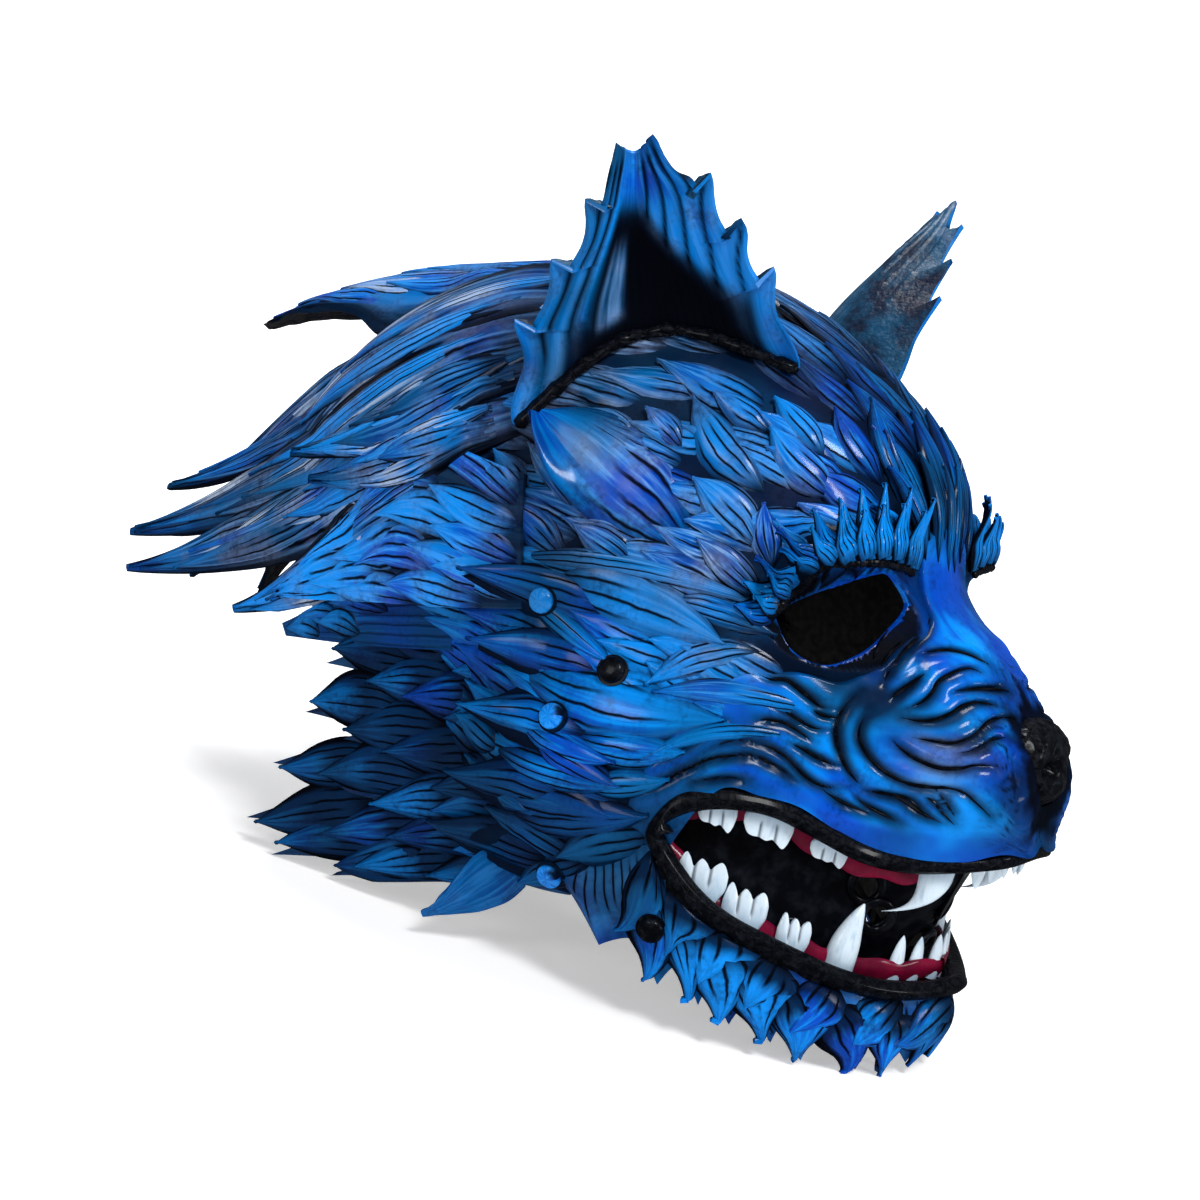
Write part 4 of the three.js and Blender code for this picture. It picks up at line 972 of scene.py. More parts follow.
# Leaves over the upper end of the nose bridge, placed in the same way
BRIDGE_LEAVES = [
    (36.5, 3.0, 54.0, 3.5, 3.6, 0.04), (39.0, 9.5, 57.0, 11.0, 4.2, 0.06), (40.5, 17.0, 58.0, 21.0, 4.4, 0.08),
    (42.5, 5.5, 62.0, 6.5, 4.4, -0.05), (41.0, 25.0, 55.0, 31.0, 4.0, 0.08), (43.5, 13.5, 63.0, 16.0, 4.6, -0.06),
]
TEMPLE_LEAF = (83.5, 54.5, 111.2, 45.4, 19.5, 0.0)
TEMPLE_SHAPE = [(0, 0.35), (0.2, 0.8), (0.45, 1), (0.75, 0.8), (0.92, 0.4), (1, 0.1)]
ROW_APART = 8.0
LEAF_APART = 10.5


def placed_leaves(table, level, wider=1.0, shape=LENS, steps=(16, 8), **more):
    q = np.array(table)
    return leaves(
        face_carrier(level), q[:, :2], q[:, 2:4], q[:, 4] * wider, shape, bend=q[:, 5], steps=steps, **more,
    )


def leaf_fits(psi, phi):
    """Leaves stay off the eye, the lips and the snout"""
    off_eye = eye_distance(on_face(psi, phi, 3)) > 1.5
    edge = along(FACE_SIDE, np.minimum(psi, 100))
    return off_eye & (phi < edge - 6) & ((psi > 80) | (phi < 97))


def by_ears(p):
    """1 beside the seam of an ear, 0 away from it"""
    foot = np.concatenate([ear_seam(tip, 31)[0][::2] for tip in EAR_TIPS.values()])
    off = np.full(p.shape[:-1], 99.0)
    for q in foot:
        off = np.minimum(off, np.linalg.norm(np.abs(p) * (1, 0, 0) + p * (0, 1, 1) - q, axis=-1))
    return np.exp(-((off / 9) ** 2))


def face_rows():
    """Rows of leaves over the forehead, temples, cheeks and the front of the crown"""
    rng = np.random.default_rng(5)
    roots, tips, wide = [], [], []
    for k, psi in enumerate(np.arange(121, 42, -ROW_APART)):
        near_eye = 1 - between(psi, 60, 80)
        limit = along(FACE_SIDE, psi) if psi < 104 else 118
        for phi in np.arange(LEAF_APART * (0.5 * (k % 2)), limit - 3, LEAF_APART):
            phi = phi + rng.uniform(-2, 2)
            root = vec(psi + rng.uniform(-2, 2), phi)
            long = 19 + 4 * between(phi, 50, 80) - 1.5 * near_eye
            turn = radians(8 - 22 * between(phi, 40, 100)) + rng.uniform(-0.18, 0.18)
            ring = max(sin(radians(min(psi, 90))), 0.5)
            roots.append(root)
            tips.append(root + vec(long * cos(turn), long * sin(turn) / ring))
            wide.append((10.8 - 0.6 * near_eye) * rng.uniform(0.9, 1.15))
    roots, tips, wide = np.array(roots), np.array(tips), np.array(wide)
    keep = leaf_fits(*((roots + tips) / 2).T) & leaf_fits(*roots.T)
    return roots[keep], tips[keep], wide[keep]


def cheek_tufts():
    """Leaves that end in the tufts cut into the rear edge of the cheek"""
    side = 0.5 + (np.arange(CHEEK_TUFTS) + 2 / 3) * 0.5 / CHEEK_TUFTS
    psi, phi, _ = face_places(np.ones(CHEEK_TUFTS), side)
    return np.stack([psi - 27, phi - 2], -1), np.stack([psi - 0.5, phi], -1)


def face_leaves(small, large):
    """The bed of leaves, and the long broad ones that lie over it"""
    roots, tips, wide = face_rows()
    bend = np.random.default_rng(8).uniform(-0.1, 0.14, len(roots))
    rows = leaves(face_carrier(1.4), roots, tips, wide, TUFT, 1.6, 1.0, bend, bend, steps=(9, 5))
    big = placed_leaves(BIG_LEAVES, 2.4, 1.16, rise=1.9, lift=0.4, sunk=1.4)
    bridge = placed_leaves(BRIDGE_LEAVES, 3.3, rise=1.5, lift=0.6, sunk=0.5)
    ends = leaves(face_carrier(2.4), *cheek_tufts(), 9.5, TUFT, 2.0, 7.5, 0.05, 0.05, steps=(16, 8))
    over = np.concatenate([big, bridge, ends])
    for name, left, finish in (("face_leaves", rows, small), ("long_face_leaves", over, large)):
        bed = both_sides(left)
        shade, worn = face_look(bed, *angles_of(bed))
        shade = np.clip(shade + 0.8 * by_ears(bed), 0, 1)
        fit(leaf_bed(name, bed, finish, shade=shade, worn=worn))


def temple_leaf(finish):
    """The broad leaf on each temple, with its rear edge folded up"""
    left = placed_leaves([TEMPLE_LEAF], 3.2, 1.0, TEMPLE_SHAPE, (40, 24), rise=1.6, lift=3.5, sunk=2.4)
    s, w = leaf_places(*left.shape[1:3])
    fold = between(s, 0.4, 0.85) * between(-w, 0.35, 1.0)
    bed = both_sides(left + outward(left) * (8 * fold)[..., None])
    worn = 0.9 * between(-w, -0.9, 0.1) * between(s, 0.1, 0.4) * (1 - between(s, 0.6, 0.85)) * (1 - fold)
    return leaf_bed("temple_leaves", bed, finish, 1.4, tint=0.55 - 0.4 * fold, shade=0.1 * fold, worn=worn)


# Locks of the mane

LOCK_LEAF = [(0, 0.7), (0.3, 1), (0.55, 0.8), (0.75, 0.42), (0.9, 0.17), (1, 0.04)]
LOCK_BOW = 0.03
LOCK_TURN = 0.25
LOCK_STRANDS = 6
UNDER = LEATHER + 1.4


def lock(root, tip, way, wide, level=UNDER):
    """A cut lock: a curved leaf that leaves its root in a given way and ends at its tip"""
    root, tip = vec(*root), vec(*tip)
    long = np.linalg.norm(tip - root)
    start = root + unit(vec(*way)) * long * 0.4
    ends = unit(unit(tip - root) + vec(0, 0, LOCK_TURN))
    before = tip - ends * long * 0.35
    before = before + outward(before) * long * LOCK_BOW

    def line(t):
        t = np.asarray(t, float)[..., None]
        return (1 - t) ** 3 * root + 3 * (1 - t) ** 2 * t * start + 3 * (1 - t) * t * t * before + t**3 * tip

    def surface(u, v):
        u, v = np.broadcast_arrays(u, v)
        at = line(u)
        out = outward(at)
        across = unit(np.cross(tangent(line, u), out))
        w = 2 * v - 1
        half = wide * along(LOCK_LEAF, u)
        return drape(at + across * (w * half)[..., None] - out * (0.3 * half * w * w)[..., None], level)

    return surface


def row(roots, tips, count, short=0.0, **shape):
    """Locks side by side; short is how much of its length each second one lacks"""
    made = []
    for i in range(count):
        root, tip = (through(places)(i / (count - 1)) for places in (roots, tips))
        made.append(lock(root, tip + (root - tip) * short * (i % 2), **shape))
    return made


MANE = [
    lock((46, -24, 118), (45, 190, 48), (0.1, 1, -0.1), 23),
    lock((64, -30, 94), (60, 197, 29), (0.2, 1, -0.2), 23),
    lock((78, -24, 74), (64, 195, 14), (0.1, 1, -0.3), 20),
    lock((88, -4, 45), (76, 124, -3), (0, 1, -0.3), 16),
]
MANE_TOP = [
    lock((76, -12, 82), (88, 84, 56), (0.5, 1, -0.3), 12, level=OVER),
    lock((86, -10, 64), (88, 75, 46), (0.3, 1, -0.3), 11, level=OVER),
]
BACK = row(
    [(-40, 78, 102), (0, 84, 116), (40, 78, 102)], [(-28, 182, 50), (0, 192, 46), (28, 182, 50)], 4,
    way=(0, 1, -0.3), wide=19,
)
NAPE = row(
    [(-56, 112, 66), (0, 134, 78), (56, 112, 66)], [(-54, 168, 10), (0, 178, 2), (54, 168, 10)], 5,
    way=(0, 0.7, -0.7), wide=18, short=0.12,
)


def lock_points(surface, rows=55, cols=21, seed=0):
    """A lock's outer side, how near each place is to the top of a strand, and how far along the lock it is"""
    u, v = grid(rows, cols)
    wander = 0.12 * np.sin(2.2 * pi * u + seed)
    strand = np.cos(2 * pi * LOCK_STRANDS * (v + wander)) * np.sin(pi * np.clip(v, 0.02, 0.98)) ** 0.5
    height = LEATHER - 0.2 - 0.8 * (0.5 + 0.5 * strand) * between(1 - u, 0, 0.15)
    height = height - 4 * (1 - between(u, 0, 0.12))
    return carrier(surface)(u, v, height), strand, u


def hair_on(surface, count, rng, wide, reach=(0.42, 0.75)):
    """Long leaves of hair that lie along a lock, the last ones ending at its tip"""
    first = np.linspace(0.55, 0.0, count) + rng.uniform(-0.03, 0.03, count).clip(0)
    last = np.minimum(first + rng.uniform(*reach, count), 0.98)
    side = (np.arange(count) * 0.618 + rng.random()) % 1 * 0.66 + 0.17
    roots = np.stack([first, side], -1)
    tips = np.stack([last, 0.5 + (side - 0.5) * 0.75 + rng.uniform(-0.08, 0.08, count)], -1)
    size = wide * rng.uniform(0.7, 1.25, count) * (0.5 + 0.5 * along(LOCK_LEAF, (first + last) / 2))
    bend = rng.uniform(-0.05, 0.05, count)
    at = carrier(surface, base=LEATHER - 0.6)
    return leaves(at, roots, tips, size, HAIR, 1.2, 1.0, bend, sunk=1.6, steps=(16, 5))


def dress_locks(name, surfaces, seed, hairs, finish, node, side="left", wide=7.5):
    """Locks side by side as one piece, each a grooved sheet with leaves of hair on it"""
    turn = SIDES[side]
    rng = np.random.default_rng(seed)
    parts, beds = [], []
    for k, surface in enumerate(surfaces):
        points, strand, u = lock_points(surface, seed=seed + k)
        # Each lock is darker towards its root: painted shade where it sinks under the leather above it
        notes = turned_notes(
            side, cut=between(strand, 0.75, 1) * 0.9, worn=np.exp(-(((u - 0.35) / 0.25) ** 2)) * 1.1,
            shade=0.5 + 0.5 * between(-u, -0.12, 0), tint=rng.random() + 0 * u,
        )
        parts.append(skin(f"{name}_{k}", turn(points), finish, thick=LEATHER - 0.6, **notes))
        beds.append(hair_on(surface, hairs, rng, wide))
    bed = turn(np.concatenate(beds))
    s, _ = leaf_places(*bed.shape[1:3])
    rng = np.random.default_rng(seed + 100)
    worn = by_chance(bed, rng, 0.3, 1.5) * np.exp(-(((s - 0.4) / 0.3) ** 2))
    # Hair leaves darker towards their roots: painted shade
    shade = by_chance(bed, rng, 0, 0.75) + 0.6 * between(-s, -0.2, 0)
    parts.append(leaf_bed(name + "_hair", bed, finish, 0.8, worn=worn, shade=shade))
    return fit(join(name, *parts), node)


# Flaps, ruff, crest and jaw

def flap(low, high, level):
    a, b = through(low), through(high)

    def surface(u, v):
        u, v = np.broadcast_arrays(u, v)
        return drape(a(u) + (b(u) - a(u)) * v[..., None], level)

    return surface


SIDE_FLAP = flap(
    [(88, -24, -3), (90, 40, -1), (88, 94, 1)], [(88, -26, 44), (88, 22, 56), (90, 62, 27), (88, 95, 3)], OVER,
)
LOW_FLAP = flap([(84, -34, -20), (88, 50, -17), (80, 95, -14)], [(84, -34, 0), (88, 50, 4), (80, 97, -9)], 0.6)

RUFF_ROOTS = through([(72, -34, -104), (84, -36, -60), (80, -36, -6)])
RUFF_TIPS = through([(81, 52, -106), (85, 90, -101), (86, 108, -86), (87, 92, -60), (86, 74, -36), (84, 66, -14)])
RUFF_TUFTS = 6
RUFF_NOTCH = 0.27


def ruff_line(u, v, point):
    """Places on the ruff, where point says how far a tuft reaches: 0 in a valley, 1 at a tip"""
    u, v = np.broadcast_arrays(u, v)
    root, tip = RUFF_ROOTS(v), RUFF_TIPS(v)
    at = root + (tip - root) * (u * (1 - RUFF_NOTCH * (1 - point)))[..., None]
    out = outward(at)
    at = at + out * ((1 - u) ** 2 * (-GAP - outside_head(at)))[..., None]
    return drape(at, -GAP) + out * (2 * point * u)[..., None]


def ruff(u, v):
    return ruff_line(u, v, tooth_wave(np.asarray(v) * RUFF_TUFTS, 0.5))


def ruff_plain(u, v):
    return ruff_line(u, v, 0.9 + 0 * np.asarray(v))


CREST_HALF = [(-8, 26), (18, 31), (41, 34), (57, 38), (81, 36), (107, 24), (144, 11), (174, 1.5)]
CREST_DROP = [(-8, 12), (18, 17), (41, 15), (57, 29), (81, 29), (107, 15), (144, 4), (174, 0)]
CREST_TOP = [(-8, 132), (21, 134.5), (85, 136), (128, 131.5), (148, 128), (174, 121.5)]


def crest(u, v):
    u, v = np.broadcast_arrays(u, v)
    y, w = -8 + 182 * u, 2 * v - 1
    return np.stack([w * along(CREST_HALF, y), y, along(CREST_TOP, y) - along(CREST_DROP, y) * w * w], -1)


BEARD_TUFTS = 9
TUFT_DROP = 11
JAW_CORNER = 0.78
JAW_HINGE = vec(83, -40, -88)
BEARD = through(BEARD_EDGE)


def jaw_at(u, v, up):
    """Places on the jaw, from the lip down and from side to side; up is how far its edge is cut"""
    u, v = np.broadcast_arrays(u, v)
    t = np.abs(2 * v - 1)
    behind = (np.maximum(t - JAW_CORNER, 0) / (1 - JAW_CORNER))[..., None]
    top = LOWER_LIP(np.minimum(t / JAW_CORNER, 1))
    top = top + (JAW_HINGE - top) * behind
    at = top + (BEARD(t) - top) * u[..., None]
    x, y, z = at[..., 0], at[..., 1], at[..., 2] + up * TUFT_DROP * ease(u * 1.4 - 0.4)
    x = np.where(v < 0.5, -1, 1) * (x + 5 * np.sin(pi * u) * np.minimum(1, x / 40))
    y = y - 5 * np.sin(pi * u) * (1 - np.minimum(1, np.abs(x) / 90))
    return np.stack([x, y, z], -1)


def jaw(u, v):
    return jaw_at(u, v, 1 - tooth_wave(np.abs(2 * np.asarray(v) - 1) * BEARD_TUFTS, 0.5))


def jaw_plain(u, v):
    return jaw_at(u, v, 0 * np.asarray(v))


def from_jaw(p):
    """The way out of the mask round the jaw"""
    return unit(p - vec(0, -50, -100)) * vec(1, 1, 0.2)


# Ears

EAR_FOOT_REAR = vec(85, -20, 57)
EAR_FOOT_FRONT = vec(36, -112, 77)
EAR_TIPS = {"right": vec(104, -79, 154), "left": vec(116, -102, 165)}
EAR_OPENS = vec(0.83, -0.55, -0.1)
EAR_REAR = [(0, 50), (0.1, 55), (0.3, 46), (0.41, 42), (0.57, 28), (0.76, 14), (0.89, 9), (1, 6)]
EAR_FRONT = [(0, 46), (0.1, 48), (0.3, 40), (0.41, 36), (0.57, 28), (0.76, 19), (0.89, 10), (1, 5)]
EAR_THORNS = vec(4.6, 6.9, 9.2) / 12
EAR_DEEP = [(0, 6), (0.2, 12), (0.45, 17), (0.7, 10), (0.85, 5), (1, 1)]


def hooks(u):
    """How far the thorns stand out of an ear's edges"""
    below = EAR_THORNS - u[..., None]
    reach = np.where(below < -1e-6, 0, np.maximum(0, 1 - below / 0.13))
    return 6 * reach.max(axis=-1) ** 2


def ear_surface(tip):
    foot = (EAR_FOOT_REAR + EAR_FOOT_FRONT) / 2
    up = tip - foot
    across = unit(EAR_FOOT_FRONT - EAR_FOOT_REAR)
    opens = unit(EAR_OPENS - up * (EAR_OPENS @ up) / (up @ up))

    def surface(u, v):
        u, v = np.broadcast_arrays(np.asarray(u, float), np.asarray(v, float))
        w = 2 * v - 1
        half = np.where(w < 0, along(EAR_REAR, u), along(EAR_FRONT, u)) + np.abs(w) ** 6 * hooks(u)
        high = u - 0.35 * (1 - u) ** 3 * (1 - w * w) - 0.05 * between(u, 0.8, 1) * (1 - w * w)
        high = high + np.abs(w) ** 6 * hooks(u) * 0.011
        deep = -along(EAR_DEEP, u) * (1 - w * w)
        return foot + up * high[..., None] + across * (w * half)[..., None] + opens * deep[..., None]

    return surface, opens


def ear_look(u, w, rise):
    """How deep an ear's grooves are, and how dark and how worn its hollow side is, with painted shade beside the
    grooves and at its root and painted highlights in a stripe and between the grooves. U goes up the ear, w from -1
    at its rear edge to 1 at its front one, and rise up from its seam."""
    rear = w < -0.55
    fan = np.where(rear, (w + 1) * 5.5, (w + 0.35) * (3.2 + 2 * (1 - u)) + 0.35 * np.sin(4 * u)) + 0.3
    line = np.rint(fan)
    off = np.abs(fan - line) / np.where(rear, 5.5, 4.2) * along([(0, 50), (0.6, 30), (1, 6)], u)
    inner = -0.12 + 0.8 * between(1 - u, 0.22, 0.7)
    tooled = np.maximum(between(w, inner, inner + 0.15), between(-w, 0.58, 0.66))
    chance = np.sin(line * 12.9) * 0.5 + 0.5
    groove = np.exp(-((off / 0.6) ** 2)) * tooled * between(u, 0.35 * chance, 0.35 * chance + 0.1)
    groove = groove * (1 - between(u, 0.75 + 0.2 * chance, 0.85 + 0.2 * chance))
    # Dim is painted shade beside each groove
    dim = np.exp(-((off / 2.4) ** 2)) * tooled
    hollow = between(w, -0.62, -0.46) * (1 - between(w, inner - 0.05, inner + 0.3)) * (1 - between(u, 0.66, 0.84))
    # A band of painted shade at the ear's root, just above its seam
    foot = (1 - between(rise, 0.03, 0.16)) * between(w, -0.9, -0.5) * (1 - between(w, 0.7, 0.95))
    # A grey lilac stripe in the hollow: a painted highlight
    highlight_stripe = between(w, -0.5, -0.44) * (1 - between(w, -0.34 + 0.1 * (1 - u), -0.26 + 0.12 * (1 - u)))
    highlight_stripe = highlight_stripe * between(rise, 0.03, 0.07) * (1 - between(u, 0.55, 0.7))
    hollow = np.maximum(hollow, foot) * (1 - 0.97 * highlight_stripe)
    shade = np.clip(0.4 * dim + 1.2 * hollow + 0.6 * highlight_stripe, 0, 1)
    # Wear and painted highlights: the stripe, and the tooled parts between the grooves
    worn = np.clip(0.9 * highlight_stripe + 0.4 * (1 - dim) * tooled, 0, 1)
    return groove, dict(tint=0.95 + 0 * u, worn=worn, shade=shade, cut=np.clip(np.maximum(hollow, groove), 0, 1))


def ear_seam(tip, places=61):
    """The line where an ear comes out of the head, and how far up the ear it is"""
    surface, opens = ear_surface(tip)
    u, v = np.meshgrid(np.linspace(0, 0.6, 121), np.linspace(0, 1, places), indexing="ij")
    p = surface(u, v)
    first = np.argmax(outside_head(p) > 3.5, axis=0)
    pick = (first, np.arange(places))
    return p[pick] + opens * 1.5, u[pick]


# The mouth

def mouth_frame(t, lower):
    """Places along the lips, 0 in the middle and 1 at the corner, with the ways into the gape, back along
    the lips and into the head"""
    t = np.asarray(t, float)
    edge, other = (LOWER_LIP, UPPER_LIP) if lower else (UPPER_LIP, LOWER_LIP)
    s = np.abs(t)
    at = edge(s)
    gape = unit(other(s) - at)
    ahead = tangent(edge, s)
    inward = unit(np.cross(ahead, gape)) * (-1 if lower else 1)
    mirror = np.where(t[..., None] < 0, (-1, 1, 1), (1, 1, 1))
    return at * mirror, gape * mirror, ahead * mirror, inward * mirror


def in_mouth(t, lower, gape, deep):
    at, g, _, inward = mouth_frame(t, lower)
    return at + g * gape + inward * deep


def tooth_seat(t, lower):
    at = in_mouth(t, lower, 3, 6.8)
    _, gape, ahead, inward = mouth_frame(t, lower)
    grows = unit(vec(0, 0, 0.5 if lower else -1) + gape * 0.5)
    back = unit(ahead - grows * np.sum(ahead * grows, axis=-1, keepdims=True))
    return at, grows, back, inward


def rounded(values, times):
    """A closed run of values with smooth steps between the given ones"""
    n = len(values)
    t = np.arange(n * times) / times
    i = t.astype(int)
    w = (t - i)[:, None]
    a, b, c, d = (values[(i + k) % n] for k in (-1, 0, 1, 2))
    return b + 0.5 * w * (c - a + w * (2 * a - 5 * b + 4 * c - d + w * (3 * (b - c) + d - a)))


# Half sizes of the trim: across it along the lips and at their corners, and into the mouth
TRIM_WIDE = 3.3
TRIM_CORNER = 5.0
TRIM_DEEP = 3.6


def trim_rings():
    """Middles and half sizes of the trim, round the mouth"""
    at, a, b = [], [], []

    def lip(t, lower):
        p, gape, _, inward = mouth_frame(t, lower)
        size = TRIM_WIDE + (TRIM_CORNER - TRIM_WIDE) * ease((abs(t) - 0.6) / 0.4)
        at.append(p + gape * (size + 0.8))
        a.append(gape * size)
        b.append(inward * TRIM_DEEP)

    def turn(side):
        at.append(CORNER * (side, 1, 1) - vec(0, TRIM_CORNER + 0.8, 0))
        a.append(vec(0, -TRIM_CORNER, 0))
        b.append(vec(-side * TRIM_DEEP, 0, 0))

    steps = np.arange(10) / 10
    for t in steps:
        lip(t, False)
    turn(1)
    for t in steps[:0:-1]:
        lip(t, True)
    for t in steps:
        lip(-t, True)
    turn(-1)
    for t in steps[:0:-1]:
        lip(-t, False)
    return [rounded(np.array(q), 6) for q in (at, a, b)]


# Settings

class WolfDyes(bpy.types.PropertyGroup):
    """Colours of the mask"""

    def dye(name, description, *colour):
        return bpy.props.FloatVectorProperty(
            name=name, description=description, default=colour, size=3, min=0, max=1, subtype="COLOR",
        )

    royal: dye("Royal blue", "Main dye of the leather", 0.0, 0.07, 0.54)
    azure: dye("Azure", "Brighter dye on the raised parts", 0.0, 0.27, 0.88)
    teal: dye("Teal", "Greener dye in patches and shadows", 0.0, 0.07, 0.16)
    # Navy is dye, and also the painted shade that the leaves' darkening and the shade note mix in
    navy: dye("Navy", "Dark dye in the hollows", 0.0006, 0.006, 0.028)
    ink: dye("Ink", "Black in the cuts and seams", 0.0008, 0.0012, 0.003)
    # The worn blue, grey and white are wear, and also painted highlights, as on the crown and in the bright streaks
    # on the leaves
    pale: dye("Worn blue", "Light blue where the dye is rubbed", 0.16, 0.42, 0.88)
    lilac: dye("Worn grey", "Grey lilac where the dye is thin", 0.20, 0.24, 0.38)
    bleached: dye("Worn white", "Where the dye has nearly gone", 0.46, 0.56, 0.74)
    charcoal: dye("Charcoal", "High spots of the black leather", 0.008, 0.010, 0.015)
    suede: dye("Bare leather", "Undyed inside of the mask", 0.020, 0.017, 0.016)
    gum: dye("Gum", "Dark red of the gums", 0.20, 0.004, 0.032)
    gum_deep: dye("Deep gum", "Darker red in patches", 0.10, 0.002, 0.018)
    tooth: dye("Tooth", "White of the teeth", 0.66, 0.78, 0.88)
    tooth_blue: dye("Tooth shade", "Blue grey strokes on the teeth", 0.20, 0.36, 0.54)
    floor: dye("Floor", "Floor and light round the mask", 0.92, 0.92, 0.92)

    del dye


class WolfSizes(bpy.types.PropertyGroup):
    """Sizes of the mask's finish"""

    strands: bpy.props.FloatProperty(
        name="Engraved lines", description="Engraved lines across a leaf", default=5.0, min=2.0, max=20.0,
    )
    camera_distance: bpy.props.FloatProperty(
        name="Camera distance", description="From the camera to the middle of the head", default=0.8,
        min=0.3, max=3.0, unit="LENGTH",
    )


# Operators

class Maker(bpy.types.Operator):
    """What the operators share"""

    bl_options = {"REGISTER", "UNDO"}


# Lights over the mask: place, size and power
LIGHTS = {
    "key_light": ((-0.7, -0.9, 1.3), 0.4, 17),
    "fill_light": ((-1.3, 0.1, 0.6), 0.4, 3),
    "front_light": ((0.3, -1.5, 0.6), 0.3, 4),
    "top_light": ((0.2, 0.3, 1.5), 0.4, 12),
}
LIT_MIDDLE = vec(0, 0, 0.15)
UP = vec(0, 0, 1)


def stand(name, data, place, right, up, back):
    """A camera or a light in its place, with the ways to its right, up and back"""
    made = bpy.data.objects.new(name, data)
    bpy.context.scene.collection.objects.link(made)
    pose = np.eye(4)
    pose[:3, :3] = np.stack([right, up, back], -1)
    pose[:3, 3] = place
    made.matrix_world = pose.T.tolist()
    return made


class WOLF_OT_stage(Maker):
    """Lay the floor, set the lights and place the camera"""

    bl_idname = "wolf.stage"
    bl_label = "Stage"

    def execute(self, context):
        scene = context.scene
        ahead = vec(cos(CAMERA_TURN), sin(CAMERA_TURN), 0)
        self.floor(ahead)

        scene.view_settings.view_transform = "Standard"
        world = scene.world or bpy.data.worlds.new("studio")
        scene.world = world
        world.use_nodes = True
        sky = world.node_tree.nodes["Background"]
        sky.inputs["Color"].default_value = (0.95, 0.97, 1, 1)
        sky.inputs["Strength"].default_value = 0.1

        middle = lay_down(vec(0, 0, 0))
        eye = lay_down(-ahead * (scene.wolf_sizes.camera_distance * 1000))
        camera = bpy.data.cameras.new("camera")
        camera.lens = CAMERA_LENS
        camera.sensor_width = CAMERA_FILM
        back, up = unit(eye - middle), unit(lay_down(UP) - middle)
        scene.camera = stand("camera", camera, eye, np.cross(up, back), up, back)

        for name, (place, size, power) in LIGHTS.items():
            light = bpy.data.lights.new(name, "AREA")
            light.size = size
            light.energy = power
            back = unit(vec(*place) - LIT_MIDDLE)
            right = unit(np.cross(UP, back))
            stand(name, light, place, right, np.cross(back, right), back)
        return {"FINISHED"}

    def floor(self, ahead):
        """A pale floor that curves up behind the mask, with its own glow there"""
        floor = primitive("floor", bpy.ops.mesh.primitive_grid_add, x_subdivisions=80, y_subdivisions=20, size=1)
        co = corners(floor)
        far, wide = co[:, :1] * 5 + 1.9, co[:, 1:2] * 6
        rise = np.maximum(far - 0.8, 0) ** 2 * 0.8
        set_points(floor, far * ahead + wide * np.cross(UP, ahead) + rise * UP)
        only(floor)
        bpy.ops.object.shade_smooth()
        f = Finish("pale_floor", Roughness=0.9, Specular_IOR_Level=0.1, Emission_Strength=1.0)
        behind = f.node("VectorMath", {"operation": "DOT_PRODUCT"}, {0: f.place, 1: tuple(ahead)}, "Value")
        f.feed(f.shader.inputs["Base Color"], f.mix("floor", (0.88, 0.88, 0.89), f.noise(3.0)))
        glow = f.mix((0.42, 0.42, 0.42), (0.95, 0.95, 0.95), f.step(behind, 0.2, 1.0))
        f.feed(f.shader.inputs["Emission Color"], glow)
        floor.data.materials.append(f.material)
        floor.visible_glossy = False
        floor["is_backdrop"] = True


class WOLF_OT_face(Maker):
    """Mould the face, groove its muzzle and cover it with tooled leaves"""

    bl_idname = "wolf.face"
    bl_label = "Face"

    def execute(self, context):
        strands = context.scene.wolf_sizes.strands
        shell = face_shell(ground_leather("face_dye", lines=0.0))
        cut_eyes(shell)
        fit(shell, "face")
        fit(muzzle_shell(ground_leather("muzzle_dye", 36, lines=0.0, rough=0.42)))
        fit(groove_lines(black_leather("line_ink", 300.0, 0.0001, 0.45)))
        small = tooled_leather("leaf_dye", strands, outline=0.7)
        face_leaves(small, tooled_leather("long_leaf_dye", strands, outline=0.8))
        fit(temple_leaf(tooled_leather("temple_dye", 5, edges=0.7, outline=0.88)))
        return {"FINISHED"}


class WOLF_OT_crown(Maker):
    """Make the skull cap"""

    bl_idname = "wolf.crown"
    bl_label = "Crown"

    def execute(self, context):
        u, v = grid(45, 45)
        side = 68 * (2 * v - 1)
        front = along([(0, 22), (25, 30), (50, 44), (70, 52)], np.abs(side))
        back = along([(0, 192), (70, 166)], np.abs(side))
        a, b = np.radians(front + (back - front) * u), np.radians(side)
        way = np.stack([np.sin(b), -np.cos(b) * np.cos(a), np.cos(b) * np.sin(a)], -1)
        points = on_head(way, -GAP, CAP_FROM)
        fit(skin("crown_cap", points, ground_leather("crown_dye"), tint=0.4, shade=0.5, worn=0.3, cut=0), "crown")
        return {"FINISHED"}


class WOLF_OT_ears(Maker):
    """Roll the two ears"""

    bl_idname = "wolf.ears"
    bl_label = "Ears"

    def execute(self, context):
        finish = tooled_leather("ear_dye", 26, edges=0.08, lines=0.15)
        back = smooth_leather("ear_back_dye")
        black = black_leather("seam_leather", 300.0, 0.0009)
        u, v = grid(101, 77)
        for side, tip in EAR_TIPS.items():
            surface, opens = ear_surface(tip)
            foot, first = ear_seam(tip)
            groove, notes = ear_look(u, 2 * v - 1, u - np.interp(v, np.linspace(0, 1, len(first)), first))
            points = SIDES[side](carrier(surface, opens)(u, v, -0.5 - 0.9 * groove))
            if side == "right":
                foot, opens = foot * (-1, 1, 1), opens * (-1, 1, 1)
            notes = turned_notes(side, **notes)
            fit(skin(f"ear_{side}_skin", points, finish, opens, 2.0, inside=back, **notes), "ear_" + side)
            fit(seam("ear_seam_" + side, foot, 2.5, black, 15.0), slot="black_leather")
        return {"FINISHED"}


